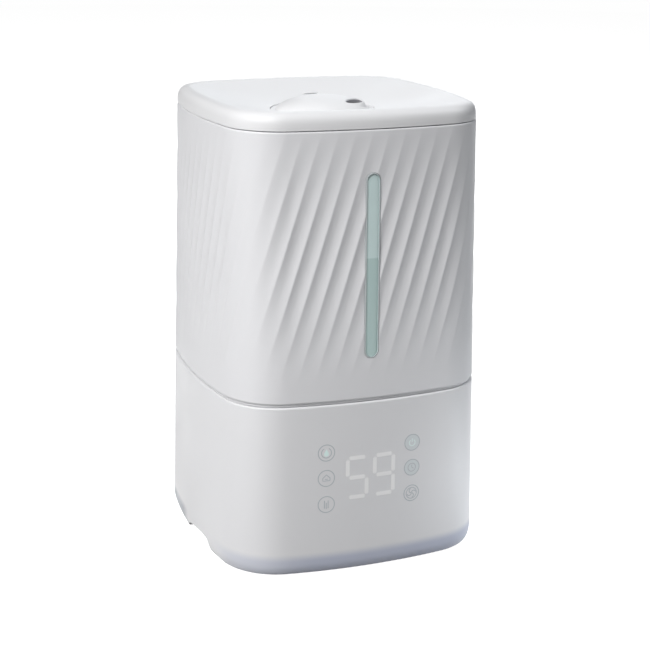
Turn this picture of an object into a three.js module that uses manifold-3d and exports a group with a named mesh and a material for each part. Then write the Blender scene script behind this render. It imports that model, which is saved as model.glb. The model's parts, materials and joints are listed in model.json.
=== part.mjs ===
// Cool mist humidifier: a base with display, fan and mist maker, a lift-off water tank with a level
// window, a lift-off lid and a turning mist nozzle.
// Millimetres, +Z up. The origin is on the floor under the middle of the base, and the display faces -Y.

import * as THREE from "three";
import { mergeVertices } from "three/addons/utils/BufferGeometryUtils.js";
import Module from "manifold-3d";

const wasm = await Module();
wasm.setup();

// ---------- driving dimensions ----------

const HALF_WIDTH = 100; // half the width across the flats, at the seam between base and tank
const SEAM_Z = 124.4;
const DRAFT = 0.0218; // the walls lean in by this much for each millimetre of height
const CORNER_RADIUS = 43;
const SIDE_BOW = 4.1; // how far each side bulges between its corners
const SIDE_STEPS = 4;
const CORNER_STEPS = 4;
const GAP = 0.3; // running gap between neighbouring pieces
const WALL = 2.6;

const FOOT = { radius: 8, height: 2.7, spacing: 62 };
const SKIRT = { z0: 1.2, z1: 17.3, wall: 3 };
const SKIRT_CURVE = [[SKIRT.z0, 2.3], [3.4, 1.1], [7, 0.4], [SKIRT.z1, 0.1]]; // [z, inset], in at the foot
const ARCH = { y: -11.5, half: 26.5, top: 10.6, radius: 7 }; // the hand opening in each side of the skirt
const PLATE = { z0: 3, z1: 6, inset: 6.2, slots: 5, slotPitch: 9, slotHalf: 2.8, slotReach: 24 };
const HOUSING = { z0: SKIRT.z1 + GAP, z1: 124.5 };
const SENSOR = { low: [33, 87, 77], high: [51, 92, 93] };
const SENSOR_SLOTS = { x0: 34, pitch: 5, count: 4, width: 2, z0: 78, z1: 92 };
const BOSS = { at: 75, radius: 5.5, bore: 1.8, z1: 113.7 };
const SCREW = { head: 3, headHeight: 1.6, shank: 1.5, length: 22, driveDepth: 0.9, driveHalf: [1.7, 0.4] };
const DECK = { z0: 114, z1: 117, inset: WALL + 0.5 };
const BASIN = { half: 60, radius: 16, floor: 92.4, bottom: 90, wall: 2.4, top: DECK.z0 - GAP };
const MIST_MAKER = { window: 9, bore: 8.5, disc: 12.2, boss: 16, bossZ: 84, clampZ: 81 };
const AIR_TOWER = { inner: 13, outer: 15, top: 112 };
const VALVE_X = -42;
const FLOAT = { x: 40, y: -20, radius: 11, bore: 3.2, z0: 94, height: 10, post: 2.6, postTop: 115.2 };

const DISPLAY = { half: 44, z0: 44, z1: 99, skin: 1.4, boardY: -91.5, boardHalf: 46, board: 1.6 };
const SHADE = { half: 43, z0: 47, z1: 96, clear: 0.35 };
const DIGIT = { x: [-9.8, 10.6], half: 9.7, z0: 51.5, z1: 88.5, frontY: -97.2 };
const TOUCH = { x: 32.5, z: [90.2, 71.5, 52.1], outer: 6.1, inner: 3.6, frontY: -95.6 };

const FAN = { y: 42, half: 30, z0: 22, z1: 37, bore: 27.5, blade: 26.5, hub: 12, blades: 7, motor: 9.5 };
const INLET = { half: 12.7, z0: 24.3, z1: 45.7, y0: 80, y1: 101.4, recessY: 90, pin: 4.3 };
const INLET_RECESS = [8.5, 5.2, 5]; // half width, half height and corner radius

const BOARD_THICKNESS = 1.6;
const DRIVER = { low: [-58, -42, 70], high: [22, 14, 70 + BOARD_THICKNESS] };
const HEAT_SINK = { low: [-50, -36, 50], high: [-8, 6, 69.7], fins: 5, finPitch: 8.2, cut: [3.5, 8, 66] };
const POWER = { low: [36, -8, 16], high: [88, 68, 16 + BOARD_THICKNESS] };
const TRANSFORMER = { low: [44, 8, 17.9], high: [68, 32, 38] };
const LEVEL_SENSOR = { low: [34, -26, 82], high: [46, -14, 89.7] };

const TANK = { z0: 128, z1: 313.2 };
const TANK_FLOOR = { z0: DECK.z1 + GAP, inset: 3.4, rim: 6.4, plate0: 124.2, plate1: 127.2, top: 134 };
const CHIMNEY = { outer: 20.6, inner: 18.6, z0: 112, z1: 299, flange: 25.6 };
const WINDOW = { half: 5.2, z0: 156, z1: 284.4, flange: 3.8 };
const VALVE = { hole: 12, bore: 7, seatTop: 129.2, lift: 5, stem: 2, stemBottom: 113.4 };

const LID = { z0: 313.9, rim: 325.9, rimInset: 8, wall: 2.4 };
const DISH = { z: 314.6, radius: 40 };
const NOZZLE = { radius: 37.4, sphere: 64.6, top: 325, wall: 2.2, skirt: 29.5 };
const NOZZLE_SEAT = { wall: 33.7, bore: 31.7, z1: 309 };
const OUTLETS = [
  { angle: -40, reach: 23.4, radius: 6.6 },
  { angle: 104, reach: 21.5, radius: 6.6 },
];
const LINER = { z0: 302.2, inset: 5.6, wall: 2 };
const GASKET = { z0: 306, z1: 309, inset: 3 };

// ---------- finishes ----------

const finish = (color, roughness, metalness = 0) => ({ color, roughness, metalness });
const WHITE = finish(0xf1f1f2, 0.42);
const SKIRT_BLUE = finish(0xccd0e2, 0.35);
const GREY = finish(0x9a9ca0, 0.6);
const RUBBER = finish(0x55575b, 0.85);
const SILICONE = finish(0xe4e7ea, 0.7);
const AQUA = finish(0xa4d4cc, 0.15);
const STEEL = finish(0xb9bcc0, 0.35, 1);
const BOARD = finish(0x1f6b45, 0.55);
const BLACK = finish(0x202124, 0.6);
const CERAMIC = finish(0xd8d2c4, 0.3);

// ---------- solids ----------

/** Turns a closed three.js geometry into a solid that can be joined and cut. */
function toSolid(geometry) {
  const bare = geometry.clone();
  bare.deleteAttribute("normal");
  bare.deleteAttribute("uv");
  const merged = mergeVertices(bare, 1e-4);
  const corners = [];
  const index = merged.index.array;
  for (let i = 0; i < index.length; i += 3) {
    const [a, b, c] = [index[i], index[i + 1], index[i + 2]];
    if (a !== b && b !== c && c !== a) {
      corners.push(a, b, c);
    }
  }
  const mesh = new wasm.Mesh({
    numProp: 3,
    vertProperties: Float32Array.from(merged.attributes.position.array),
    triVerts: Uint32Array.from(corners),
  });
  return new wasm.Manifold(mesh);
}

function toGeometry(solid) {
  const mesh = solid.getMesh();
  const geometry = new THREE.BufferGeometry();
  geometry.setAttribute("position", new THREE.BufferAttribute(mesh.vertProperties, 3));
  geometry.setIndex(new THREE.BufferAttribute(mesh.triVerts, 1));
  geometry.computeVertexNormals();
  return geometry;
}

const join = (first, ...others) => others.reduce((whole, piece) => whole.add(piece), first);
const cut = (first, ...others) => others.reduce((whole, piece) => whole.subtract(piece), first);

/** The rounded square with bulging sides that every level of the body follows. */
function outline(half, corner) {
  const flat = half - corner - SIDE_BOW;
  const sideRadius = (flat * flat + SIDE_BOW * SIDE_BOW) / (2 * SIDE_BOW);
  const swing = Math.asin(flat / sideRadius);
  const points = [];
  for (let side = 0; side < 4; side += 1) {
    const turn = (side * Math.PI) / 2;
    const arc = (centre, radius, from, to, steps) => {
      for (let step = 0; step < steps; step += 1) {
        const angle = from + ((to - from) * step) / steps;
        const point = new THREE.Vector2(Math.cos(angle), Math.sin(angle)).multiplyScalar(radius);
        points.push(point.add(centre).rotateAround(new THREE.Vector2(), turn));
      }
    };
    const middle = new THREE.Vector2(flat + SIDE_BOW - sideRadius, 0);
    arc(middle, sideRadius + corner, -swing, swing, SIDE_STEPS);
    arc(new THREE.Vector2(flat, flat), corner, swing, Math.PI / 2 - swing, CORNER_STEPS);
  }
  return points;
}

/** One level of the body: its outline, set in by inset, and blended towards a circle by roundness. */
function level(z, inset, roundness = 0) {
  const lean = DRAFT * (z - SEAM_Z);
  const half = HALF_WIDTH - lean - inset;
  const corner = Math.max(CORNER_RADIUS - lean - inset, 6);
  return outline(half, corner).map((point) => {
    const round = point.clone().setLength(half);
    return new THREE.Vector3(...point.lerp(round, roundness), z);
  });
}

/** A solid skinned over levels from the bottom up, closed at both ends. */
function loft(levels) {
  const rings = levels.map((entry) => level(...entry));
  const count = rings[0].length;
  const points = rings.flat();
  const faces = [];
  for (let row = 0; row < rings.length - 1; row += 1) {
    for (let i = 0; i < count; i += 1) {
      const next = (i + 1) % count;
      const [a, b] = [row * count + i, row * count + next];
      faces.push(a, b, b + count, a, b + count, a + count);
    }
  }
  const last = (rings.length - 1) * count;
  for (let i = 1; i < count - 1; i += 1) {
    faces.push(0, i + 1, i);
    faces.push(last, last + i, last + i + 1);
  }
  const geometry = new THREE.BufferGeometry().setFromPoints(points);
  geometry.setIndex(faces);
  return toSolid(geometry);
}

/** A plate or block of constant inset between two heights. */
const slab = (z0, z1, inset) => loft([[z0, inset], [z1, inset]]);

/** A solid of revolution about a vertical axis; the profile is a closed loop of [radius, z]. */
function revolve(profile, x = 0, y = 0, segments = 24) {
  const points = profile.map(([radius, z]) => new THREE.Vector2(radius, z));
  if (profile[0][0] > 0) {
    points.push(points[0].clone());
  }
  const geometry = new THREE.LatheGeometry(points, segments);
  geometry.rotateX(Math.PI / 2);
  geometry.translate(x, y, 0);
  return toSolid(geometry);
}

function rod(radius, z0, z1, x = 0, y = 0, segments = 12) {
  return revolve([[0, z0], [radius, z0], [radius, z1], [0, z1]], x, y, segments);
}

function tube(inner, outer, z0, z1, x = 0, y = 0, segments = 24) {
  return revolve([[inner, z0], [outer, z0], [outer, z1], [inner, z1]], x, y, segments);
}

/** A box from its lowest to its highest corner. */
function box(low, high) {
  const size = high.map((value, i) => value - low[i]);
  const geometry = new THREE.BoxGeometry(...size);
  geometry.translate(...low.map((value, i) => value + size[i] / 2));
  return toSolid(geometry);
}

/** A rectangle with round corners, centred on the origin. */
function roundedRectangle(halfWidth, halfHeight, radius) {
  const shape = new THREE.Shape();
  const [w, h] = [halfWidth - radius, halfHeight - radius];
  shape.absarc(w, -h, radius, -Math.PI / 2, 0);
  shape.absarc(w, h, radius, 0, Math.PI / 2);
  shape.absarc(-w, h, radius, Math.PI / 2, Math.PI);
  shape.absarc(-w, -h, radius, Math.PI, Math.PI * 1.5);
  return shape;
}

function extrude(shape, depth, curveSegments = 6) {
  return new THREE.ExtrudeGeometry(shape, { depth, bevelEnabled: false, curveSegments });
}

/** An upright block with round vertical edges. */
function roundedBlock(half, radius, z0, z1) {
  const geometry = extrude(roundedRectangle(half, half, radius), z1 - z0);
  geometry.translate(0, 0, z0);
  return toSolid(geometry);
}

/** A rod along Y, for pieces behind the display. */
function rodAlongY(radius, y0, y1, x, z, segments = 16) {
  const geometry = new THREE.CylinderGeometry(radius, radius, y1 - y0, segments);
  geometry.translate(x, (y0 + y1) / 2, z);
  return toSolid(geometry);
}

/** A long slot with round ends, standing in the XZ plane and running through the front wall. */
function frontSlot(half, z0, z1) {
  const geometry = extrude(roundedRectangle(half, (z1 - z0) / 2, half), 30, 8);
  geometry.rotateX(Math.PI / 2);
  geometry.translate(0, -80, (z0 + z1) / 2);
  return toSolid(geometry);
}

const CORNERS = [[-1, -1], [1, -1], [1, 1], [-1, 1]];
const CORNER_NAMES = ["front_left", "front_right", "back_right", "back_left"];

// ---------- base ----------

function baseSkirt() {
  const outer = loft(SKIRT_CURVE);
  const last = SKIRT_CURVE.length - 1;
  const pastEnds = (z, i) => z - (i === 0 ? 1 : 0) + (i === last ? 1 : 0);
  const inner = loft(SKIRT_CURVE.map(([z, inset], i) => [pastEnds(z, i), inset + SKIRT.wall]));
  const archHalfHeight = ARCH.top + 10;
  const arch = extrude(roundedRectangle(archHalfHeight, ARCH.half, ARCH.radius), 240, 4);
  arch.rotateY(Math.PI / 2);
  arch.translate(-120, ARCH.y, ARCH.top - archHalfHeight);
  return cut(outer, inner, toSolid(arch));
}

function baseHousing() {
  const outer = loft([[HOUSING.z0, 0], [HOUSING.z1 - 2, 0], [HOUSING.z1 - 0.7, 0.4], [HOUSING.z1, 1.4]]);
  const inner = slab(HOUSING.z0 - 1, HOUSING.z1 + 1, WALL);
  const displayPocket = slab(DISPLAY.z0, DISPLAY.z1, DISPLAY.skin).intersect(
    box([-DISPLAY.half, -110, DISPLAY.z0], [DISPLAY.half, -80, DISPLAY.z1]),
  );
  const inletHole = box(
    [-INLET.half - GAP, INLET.recessY, INLET.z0 - GAP],
    [INLET.half + GAP, 110, INLET.z1 + GAP],
  );
  let housing = cut(outer, inner, displayPocket, inletHole);
  const { x0, pitch, count, width, z0, z1 } = SENSOR_SLOTS;
  for (let slot = 0; slot < count; slot += 1) {
    const x = x0 + slot * pitch;
    housing = cut(housing, box([x, 90, z0], [x + width, 110, z1]));
  }
  for (const [sx, sy] of CORNERS) {
    const [x, y] = [sx * BOSS.at, sy * BOSS.at];
    const rib = new THREE.BoxGeometry(12, 2.4, BOSS.z1 - HOUSING.z0);
    rib.translate(6, 0, (BOSS.z1 + HOUSING.z0) / 2);
    rib.rotateZ(Math.atan2(sy, sx));
    rib.translate(x, y, 0);
    const post = join(rod(BOSS.radius, HOUSING.z0, BOSS.z1, x, y), toSolid(rib));
    housing = join(housing, post.intersect(outer));
    housing = cut(housing, rod(BOSS.bore, HOUSING.z0 - 1, HOUSING.z0 + 12, x, y));
    housing = cut(housing, rod(BOSS.bore, BOSS.z1 - 24, BOSS.z1 + 1, x, y));
  }
  return housing;
}

function bottomPlate() {
  let plate = slab(PLATE.z0, PLATE.z1, PLATE.inset);
  for (const [sx, sy] of CORNERS) {
    const [x, y] = [sx * BOSS.at, sy * BOSS.at];
    plate = join(plate, rod(BOSS.radius - 0.5, PLATE.z1 - 1, HOUSING.z0 - GAP, x, y));
    plate = cut(plate, rod(BOSS.bore, 0, 40, x, y));
    plate = cut(plate, rod(SCREW.head + GAP, 0, PLATE.z0 + SCREW.headHeight + 0.4, x, y));
  }
  const { slots, slotPitch, slotHalf, slotReach } = PLATE;
  for (let slot = 0; slot < slots; slot += 1) {
    const x = (slot - (slots - 1) / 2) * slotPitch;
    const reach = Math.sqrt(slotReach ** 2 - x ** 2);
    plate = cut(plate, box([x - slotHalf, FAN.y - reach, 0], [x + slotHalf, FAN.y + reach, 10]));
  }
  return plate;
}

function screw(x, y, z, direction) {
  const headEnd = z + direction * SCREW.headHeight;
  const tip = headEnd + direction * SCREW.length;
  const head = rod(SCREW.head, Math.min(z, headEnd), Math.max(z, headEnd), x, y, 12);
  const shankStart = headEnd - direction * 0.2;
  const shank = rod(SCREW.shank, Math.min(shankStart, tip), Math.max(shankStart, tip), x, y, 8);
  const driveEnd = z + direction * SCREW.driveDepth;
  const [reach, half] = SCREW.driveHalf;
  const low = [x - reach, y - half, Math.min(z, driveEnd) - 0.01];
  const high = [x + reach, y + half, Math.max(z, driveEnd) + 0.01];
  return cut(join(head, shank), box(low, high));
}

/** The deck that closes the base, open over the basin. */
function baseDeck() {
  const opening = roundedBlock(BASIN.half - BASIN.wall, BASIN.radius - BASIN.wall, DECK.z0 - 1, DECK.z1 + 1);
  let deck = cut(slab(DECK.z0, DECK.z1, DECK.inset), opening);
  for (const [sx, sy] of CORNERS) {
    deck = cut(deck, rod(BOSS.bore, DECK.z0 - 1, DECK.z1 + 1, sx * BOSS.at, sy * BOSS.at, 12));
  }
  return deck;
}

/** The basin under the deck, with the pin that opens the valve, the float's post and the disc's seat. */
function waterBasin() {
  const { half, radius, floor, bottom, wall, top } = BASIN;
  const { window, disc, boss, bossZ } = MIST_MAKER;
  const outer = roundedBlock(half, radius, bottom, top);
  const inner = roundedBlock(half - wall, radius - wall, floor, top + 1);
  const pushPin = rod(3, bottom + 1, VALVE.stemBottom - GAP, VALVE_X, 0, 12);
  const floatPost = rod(FLOAT.post, bottom + 1, FLOAT.postTop, FLOAT.x, FLOAT.y, 12);
  const discSeat = tube(disc + 0.5, boss, bossZ, bottom + 0.5, 0, 0, 24);
  const basin = join(cut(outer, inner), pushPin, floatPost, discSeat);
  const ductHole = rod(AIR_TOWER.outer + GAP, bottom - 1, floor + 1, 0, FAN.y, 24);
  return cut(basin, ductHole, rod(window, bottom - 1, floor + 1, 0, 0, 24));
}

function heatSink() {
  const { low, high, fins, finPitch, cut: [from, to, top] } = HEAT_SINK;
  let block = box(low, high);
  for (let fin = 0; fin < fins; fin += 1) {
    const y = low[1] + fin * finPitch;
    block = cut(block, box([low[0] - 1, y + from, low[2] - 1], [high[0] + 1, y + to, top]));
  }
  return block;
}

function displayShade() {
  const { half, z0, z1, clear } = SHADE;
  const room = slab(z0 - 5, z1 + 5, WALL + 0.6);
  const block = box([-half, -99, z0], [half, DISPLAY.boardY - GAP, z1]).intersect(room);
  const digitHoles = DIGIT.x.map((x) =>
    box(
      [x - DIGIT.half - clear, -110, DIGIT.z0 - GAP],
      [x + DIGIT.half + clear, -80, DIGIT.z1 + GAP],
    ),
  );
  const padHoles = touchCentres().map(({ x, z }) => rodAlongY(TOUCH.outer + GAP, -110, -80, x, z));
  return cut(block, ...digitHoles, ...padHoles);
}

const touchCentres = () =>
  [-1, 1].flatMap((side) =>
    TOUCH.z.map((z, row) => ({
      name: `touch_pad_${side < 0 ? "left" : "right"}_${["top", "middle", "bottom"][row]}`,
      x: side * TOUCH.x,
      z,
    })),
  );

function touchPad({ x, z }) {
  const back = DISPLAY.boardY - GAP;
  const pad = rodAlongY(TOUCH.outer, TOUCH.frontY, back, x, z);
  return cut(pad, rodAlongY(TOUCH.inner, TOUCH.frontY - 1, back + 1, x, z, 12));
}

function fanFrame() {
  const { y, half, z0, z1, bore } = FAN;
  const square = extrude(roundedRectangle(half, half, 4), z1 - z0, 3);
  square.translate(0, y, z0);
  let frame = cut(toSolid(square), rod(bore, z0 - 1, z1 + 1, 0, y, 24));
  frame = join(frame, box([-bore - 1, y - 1.5, z0], [bore + 1, y + 1.5, z0 + 2]));
  frame = join(frame, box([-1.5, y - bore - 1, z0], [1.5, y + bore + 1, z0 + 2]));
  return join(frame, rod(11, z0, z0 + 2, 0, y, 20));
}

function fanRotor() {
  const { y, z0, z1, hub, blade, blades } = FAN;
  let rotor = cut(rod(hub, z0 + 3, z1 - 0.5, 0, y, 24), rod(hub - 1.2, z0 + 2, z1 - 2, 0, y, 24));
  for (let i = 0; i < blades; i += 1) {
    const vane = new THREE.BoxGeometry(blade - hub + 1, 1.4, 14);
    vane.rotateX(0.75);
    vane.translate((blade + hub) / 2 - 0.7, 0, (z0 + z1) / 2 + 1.2);
    vane.rotateZ((2 * Math.PI * i) / blades);
    vane.translate(0, y, 0);
    rotor = join(rotor, toSolid(vane));
  }
  return rotor;
}

/** The duct from the fan, whose neck stands up in the basin above the water. */
function airDuct() {
  const { y, bore, z1 } = FAN;
  const { inner, outer, top } = AIR_TOWER;
  return revolve(
    [
      [bore, z1 + GAP], [bore + 2, z1 + GAP], [bore + 2, z1 + 8], [outer, 72], [outer, top],
      [inner, top], [inner, 71.4], [bore, z1 + 7.4],
    ],
    0,
    y,
    24,
  );
}

function powerInlet() {
  const { half, z0, z1, y0, y1, recessY } = INLET;
  const hollow = extrude(roundedRectangle(...INLET_RECESS), 20, 5);
  hollow.rotateX(Math.PI / 2);
  hollow.translate(0, recessY + 20, (z0 + z1) / 2);
  const flange = box([-half - 3, 95, z0 - 3], [half + 3, 97, z1 + 3]);
  return cut(join(box([-half, y0, z0], [half, y1, z1]), flange), toSolid(hollow));
}

function floatRing() {
  const { x, y, radius, bore, z0, height } = FLOAT;
  const ring = tube(bore, radius, z0, z0 + height, x, y, 16);
  return cut(ring, tube(bore + 1.5, radius - 1.6, z0 + 7.4, z0 + height + 1, x, y, 16));
}

// ---------- tank ----------

function tankShell() {
  const outer = loft([[TANK.z0, 0.5], [TANK.z0 + 1, 0], [TANK.z1 - 0.8, 0], [TANK.z1, 0.6]]);
  const slot = frontSlot(WINDOW.half + GAP, WINDOW.z0 - GAP, WINDOW.z1 + GAP);
  return cut(outer, slab(TANK.z0 - 1, TANK.z1 + 1, WALL), slot);
}

function levelWindow() {
  const skin = (inset, depth) => {
    const [z0, z1] = [WINDOW.z0 - 10, WINDOW.z1 + 10];
    return cut(slab(z0, z1, inset), slab(z0 - 1, z1 + 1, inset + depth));
  };
  const pane = frontSlot(WINDOW.half, WINDOW.z0, WINDOW.z1).intersect(skin(0.4, 2.8));
  const flangeOutline = frontSlot(
    WINDOW.half + WINDOW.flange,
    WINDOW.z0 - WINDOW.flange,
    WINDOW.z1 + WINDOW.flange,
  );
  return join(pane, flangeOutline.intersect(skin(WALL + GAP, 1.5)));
}

function tankFloor() {
  const { z0, inset, rim, plate0, plate1, top } = TANK_FLOOR;
  const body = loft([[z0, inset + 1], [z0 + 1, inset], [top, inset]]);
  const below = slab(z0 - 1, plate0, rim);
  const above = slab(plate1, top + 1, rim);
  const chimneyHole = rod(CHIMNEY.outer + 0.4, plate0 - 1, plate1 + 1, 0, 0, 24);
  const valveHole = rod(VALVE.hole, plate0 - 1, plate1 + 1, VALVE_X, 0, 16);
  return cut(body, below, above, chimneyHole, valveHole);
}

function mistChimney() {
  const { inner, outer, flange, z0, z1 } = CHIMNEY;
  const flangeZ = TANK_FLOOR.plate1 + GAP;
  return join(tube(inner, outer, z0, z1), tube(inner, flange, flangeZ, flangeZ + 1.8));
}

function valveSeat() {
  const { hole, bore, seatTop } = VALVE;
  const flangeZ = TANK_FLOOR.plate1 + GAP;
  let seat = tube(bore, hole - GAP, 119.6, seatTop, VALVE_X, 0, 16);
  seat = join(seat, tube(bore, hole + 1.8, flangeZ, seatTop, VALVE_X, 0, 16));
  seat = join(seat, box([VALVE_X - bore - 1, -0.9, 119.6], [VALVE_X + bore + 1, 0.9, 121.6]));
  seat = join(seat, box([VALVE_X - 0.9, -bore - 1, 119.6], [VALVE_X + 0.9, bore + 1, 121.6]));
  seat = join(seat, rod(4, 119.6, 121.6, VALVE_X, 0));
  return cut(seat, rod(VALVE.stem + 0.35, 118, 123, VALVE_X, 0, 12));
}

function valvePlunger() {
  const sealTop = VALVE.seatTop + VALVE.lift + GAP + 1.5;
  const stem = rod(VALVE.stem, VALVE.stemBottom, sealTop + 1, VALVE_X, 0, 12);
  const collar = rod(4.6, VALVE.stemBottom + 0.2, VALVE.stemBottom + 1.6, VALVE_X, 0);
  const head = rod(9.4, sealTop + GAP, sealTop + GAP + 2, VALVE_X, 0, 16);
  return join(stem, collar, head);
}

function valveSeal() {
  const z0 = VALVE.seatTop + VALVE.lift + GAP;
  return tube(VALVE.stem + GAP, 8.8, z0, z0 + 1.5, VALVE_X, 0, 16);
}

/** The spring that pushes the plunger down onto its seat when the tank is lifted off. */
function valveSpring() {
  const turns = 3;
  const wire = 0.4;
  const radius = 3.3;
  const bottom = VALVE.stemBottom + 1.6 + GAP + wire;
  const top = 119.6 - GAP - wire;
  class Helix extends THREE.Curve {
    getPoint(t, target = new THREE.Vector3()) {
      const angle = 2 * Math.PI * turns * t;
      return target.set(radius * Math.cos(angle), radius * Math.sin(angle), bottom + (top - bottom) * t);
    }
  }
  const section = new THREE.Shape();
  section.absarc(0, 0, wire, 0, 2 * Math.PI);
  const geometry = new THREE.ExtrudeGeometry(section, {
    extrudePath: new Helix(),
    steps: turns * 12,
    curveSegments: 2,
    bevelEnabled: false,
  });
  geometry.translate(VALVE_X, 0, 0);
  return toSolid(geometry);
}

// ---------- lid and nozzle ----------

/** The dish in the lid: a smooth bowl that turns from the body's outline to a circle. */
function dishLevels(drop) {
  const rimHalf = HALF_WIDTH - DRAFT * (LID.rim - SEAM_Z) - LID.rimInset;
  const steps = 3;
  const levels = [];
  for (let step = steps; step >= 0; step -= 1) {
    const t = step / steps;
    const half = DISH.radius + (rimHalf - DISH.radius) * t;
    const z = DISH.z + (LID.rim - DISH.z) * t ** 1.6 - drop;
    const inset = HALF_WIDTH - DRAFT * (z - SEAM_Z) - half;
    levels.unshift([z, inset, 1 - t ** 2]);
  }
  return levels;
}

function lidCover() {
  const { z0, rim, rimInset, wall } = LID;
  const outer = loft([
    [z0, 0.2], [322, 0.2], [324, 1.3], [325.4, 4.4], [rim, rimInset - 0.4],
  ]);
  const bowl = dishLevels(0);
  const top = bowl.at(-1);
  const dish = loft([...bowl, [top[0] + 1, top[1] - 0.6]]);
  const shellInside = loft([[z0 - 1, 3.2], [321, 3.2], [323, 5.4]]);
  const bowlUnder = dishLevels(wall);
  const under = loft([[DISH.z - 8, bowlUnder[0][1], 1], ...bowlUnder, [340, rimInset + 0.4]]);
  const hollow = cut(shellInside, under);
  const seatTop = DISH.z - wall;
  const centre = tube(NOZZLE_SEAT.bore, DISH.radius + 1, seatTop - 0.6, DISH.z - 0.2, 0, 0, 28);
  const floorTop = NOZZLE.top - NOZZLE.sphere + Math.sqrt(NOZZLE.sphere ** 2 - NOZZLE.radius ** 2) - GAP;
  const socket = rod(NOZZLE.radius + 0.4, floorTop, 330, 0, 0, 28);
  const hole = rod(NOZZLE_SEAT.bore, 290, 330, 0, 0, 28);
  return cut(join(cut(outer, dish, hollow), centre), socket, hole);
}

function lidLiner() {
  const { z0, inset, wall } = LINER;
  const top = LID.z0 - 0.4;
  const plug = cut(slab(z0, top, inset), slab(z0 + wall, top + 1, inset + wall));
  const seat = tube(NOZZLE_SEAT.bore, NOZZLE_SEAT.wall, z0, NOZZLE_SEAT.z1, 0, 0, 28);
  return cut(join(plug, seat), rod(NOZZLE_SEAT.bore, z0 - 1, z0 + wall + 1, 0, 0, 28));
}

function lidGasket() {
  const { z0, z1, inset } = GASKET;
  const lip = loft([[z0, inset + 0.8], [(z0 + z1) / 2, inset], [z1, inset + 0.8]]);
  return cut(lip, slab(z0 - 1, z1 + 1, LINER.inset - GAP));
}

function nozzleCap() {
  const { radius, sphere, top, wall, skirt } = NOZZLE;
  const centreZ = top - sphere;
  const arc = (ball, from, to, steps) => {
    const points = [];
    for (let i = 0; i <= steps; i += 1) {
      const r = from + ((to - from) * i) / steps;
      points.push([r, centreZ + Math.sqrt(ball ** 2 - r ** 2)]);
    }
    return points;
  };
  const edgeZ = centreZ + Math.sqrt(sphere ** 2 - radius ** 2);
  const dome = revolve([[0, edgeZ], [radius, edgeZ], ...arc(sphere, radius, 0, 6).slice(1)], 0, 0, 28);
  const bowl = revolve([[0, 300], [skirt - 2, 300], ...arc(sphere - wall, skirt - 2, 0, 4)], 0, 0, 28);
  const collar = tube(skirt - 2, skirt, 304, edgeZ + 1, 0, 0, 28);
  const holes = OUTLETS.map(({ angle, reach, radius: hole }) => {
    const turn = THREE.MathUtils.degToRad(angle);
    return rod(hole, 308, 330, reach * Math.cos(turn), reach * Math.sin(turn), 14);
  });
  return cut(join(cut(dome, bowl), collar), ...holes);
}

function nozzleBaffle() {
  const outer = NOZZLE.skirt - 2 - GAP;
  let baffle = join(tube(outer - 2, outer, 305, 308), rod(9, 305, 306.5, 0, 0, 24));
  for (let arm = 0; arm < 3; arm += 1) {
    const spoke = new THREE.BoxGeometry(outer - 1, 2.4, 1.5);
    spoke.translate((outer - 1) / 2, 0, 305.75);
    spoke.rotateZ((2 * Math.PI * arm) / 3);
    baffle = join(baffle, toSolid(spoke));
  }
  return baffle;
}

// ---------- the assembly ----------

const humidifier = new THREE.Group();
humidifier.name = "cool_mist_humidifier";

function add(name, solid, look) {
  const mesh = new THREE.Mesh(toGeometry(solid), new THREE.MeshStandardMaterial(look));
  mesh.name = name;
  humidifier.add(mesh);
}

add("base_housing", baseHousing(), WHITE);
add("base_skirt", baseSkirt(), SKIRT_BLUE);
add("bottom_plate", bottomPlate(), GREY);
CORNERS.forEach(([sx, sy], i) => {
  const name = CORNER_NAMES[i];
  const [x, y] = [sx * BOSS.at, sy * BOSS.at];
  add(`foot_${name}`, rod(FOOT.radius, 0, FOOT.height, sx * FOOT.spacing, sy * FOOT.spacing, 16), RUBBER);
  add(`bottom_screw_${name}`, screw(x, y, PLATE.z0 + 0.3, 1), STEEL);
  add(`deck_screw_${name}`, screw(x, y, DECK.z1 + GAP + SCREW.headHeight, -1), STEEL);
});

add("base_deck", baseDeck(), WHITE);
add("water_basin", waterBasin(), WHITE);
const { bore: discBore, disc, boss, bossZ, clampZ } = MIST_MAKER;
add("transducer_seal", tube(discBore, disc + 0.2, 87.2, 89.7, 0, 0, 24), SILICONE);
add("transducer_disc", rod(disc, 85.6, 86.9, 0, 0, 24), CERAMIC);
const clampFlange = tube(discBore, boss - 0.2, clampZ, bossZ - GAP, 0, 0, 24);
const clampNeck = tube(discBore, disc + 0.1, bossZ - 0.5, 85.3, 0, 0, 24);
add("transducer_clamp", join(clampFlange, clampNeck), GREY);
add("driver_board", box(DRIVER.low, DRIVER.high), BOARD);
add("driver_heat_sink", heatSink(), finish(0xaeb2b6, 0.4, 1));
add("power_board", box(POWER.low, POWER.high), BOARD);
add("power_transformer", box(TRANSFORMER.low, TRANSFORMER.high), finish(0xc9b45a, 0.6));

const { boardHalf, boardY, board } = DISPLAY;
add("display_board", box([-boardHalf, boardY, DISPLAY.z0], [boardHalf, boardY + board, DISPLAY.z1]), BOARD);
add("display_shade", displayShade(), BLACK);
DIGIT.x.forEach((x, i) => {
  const module = box(
    [x - DIGIT.half, DIGIT.frontY, DIGIT.z0],
    [x + DIGIT.half, boardY - GAP, DIGIT.z1],
  );
  add(`digit_${["left", "right"][i]}`, module, finish(0xe9edf2, 0.5));
});
touchCentres().forEach((centre) => add(centre.name, touchPad(centre), SILICONE));
add("humidity_sensor", box(SENSOR.low, SENSOR.high), BLACK);

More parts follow.
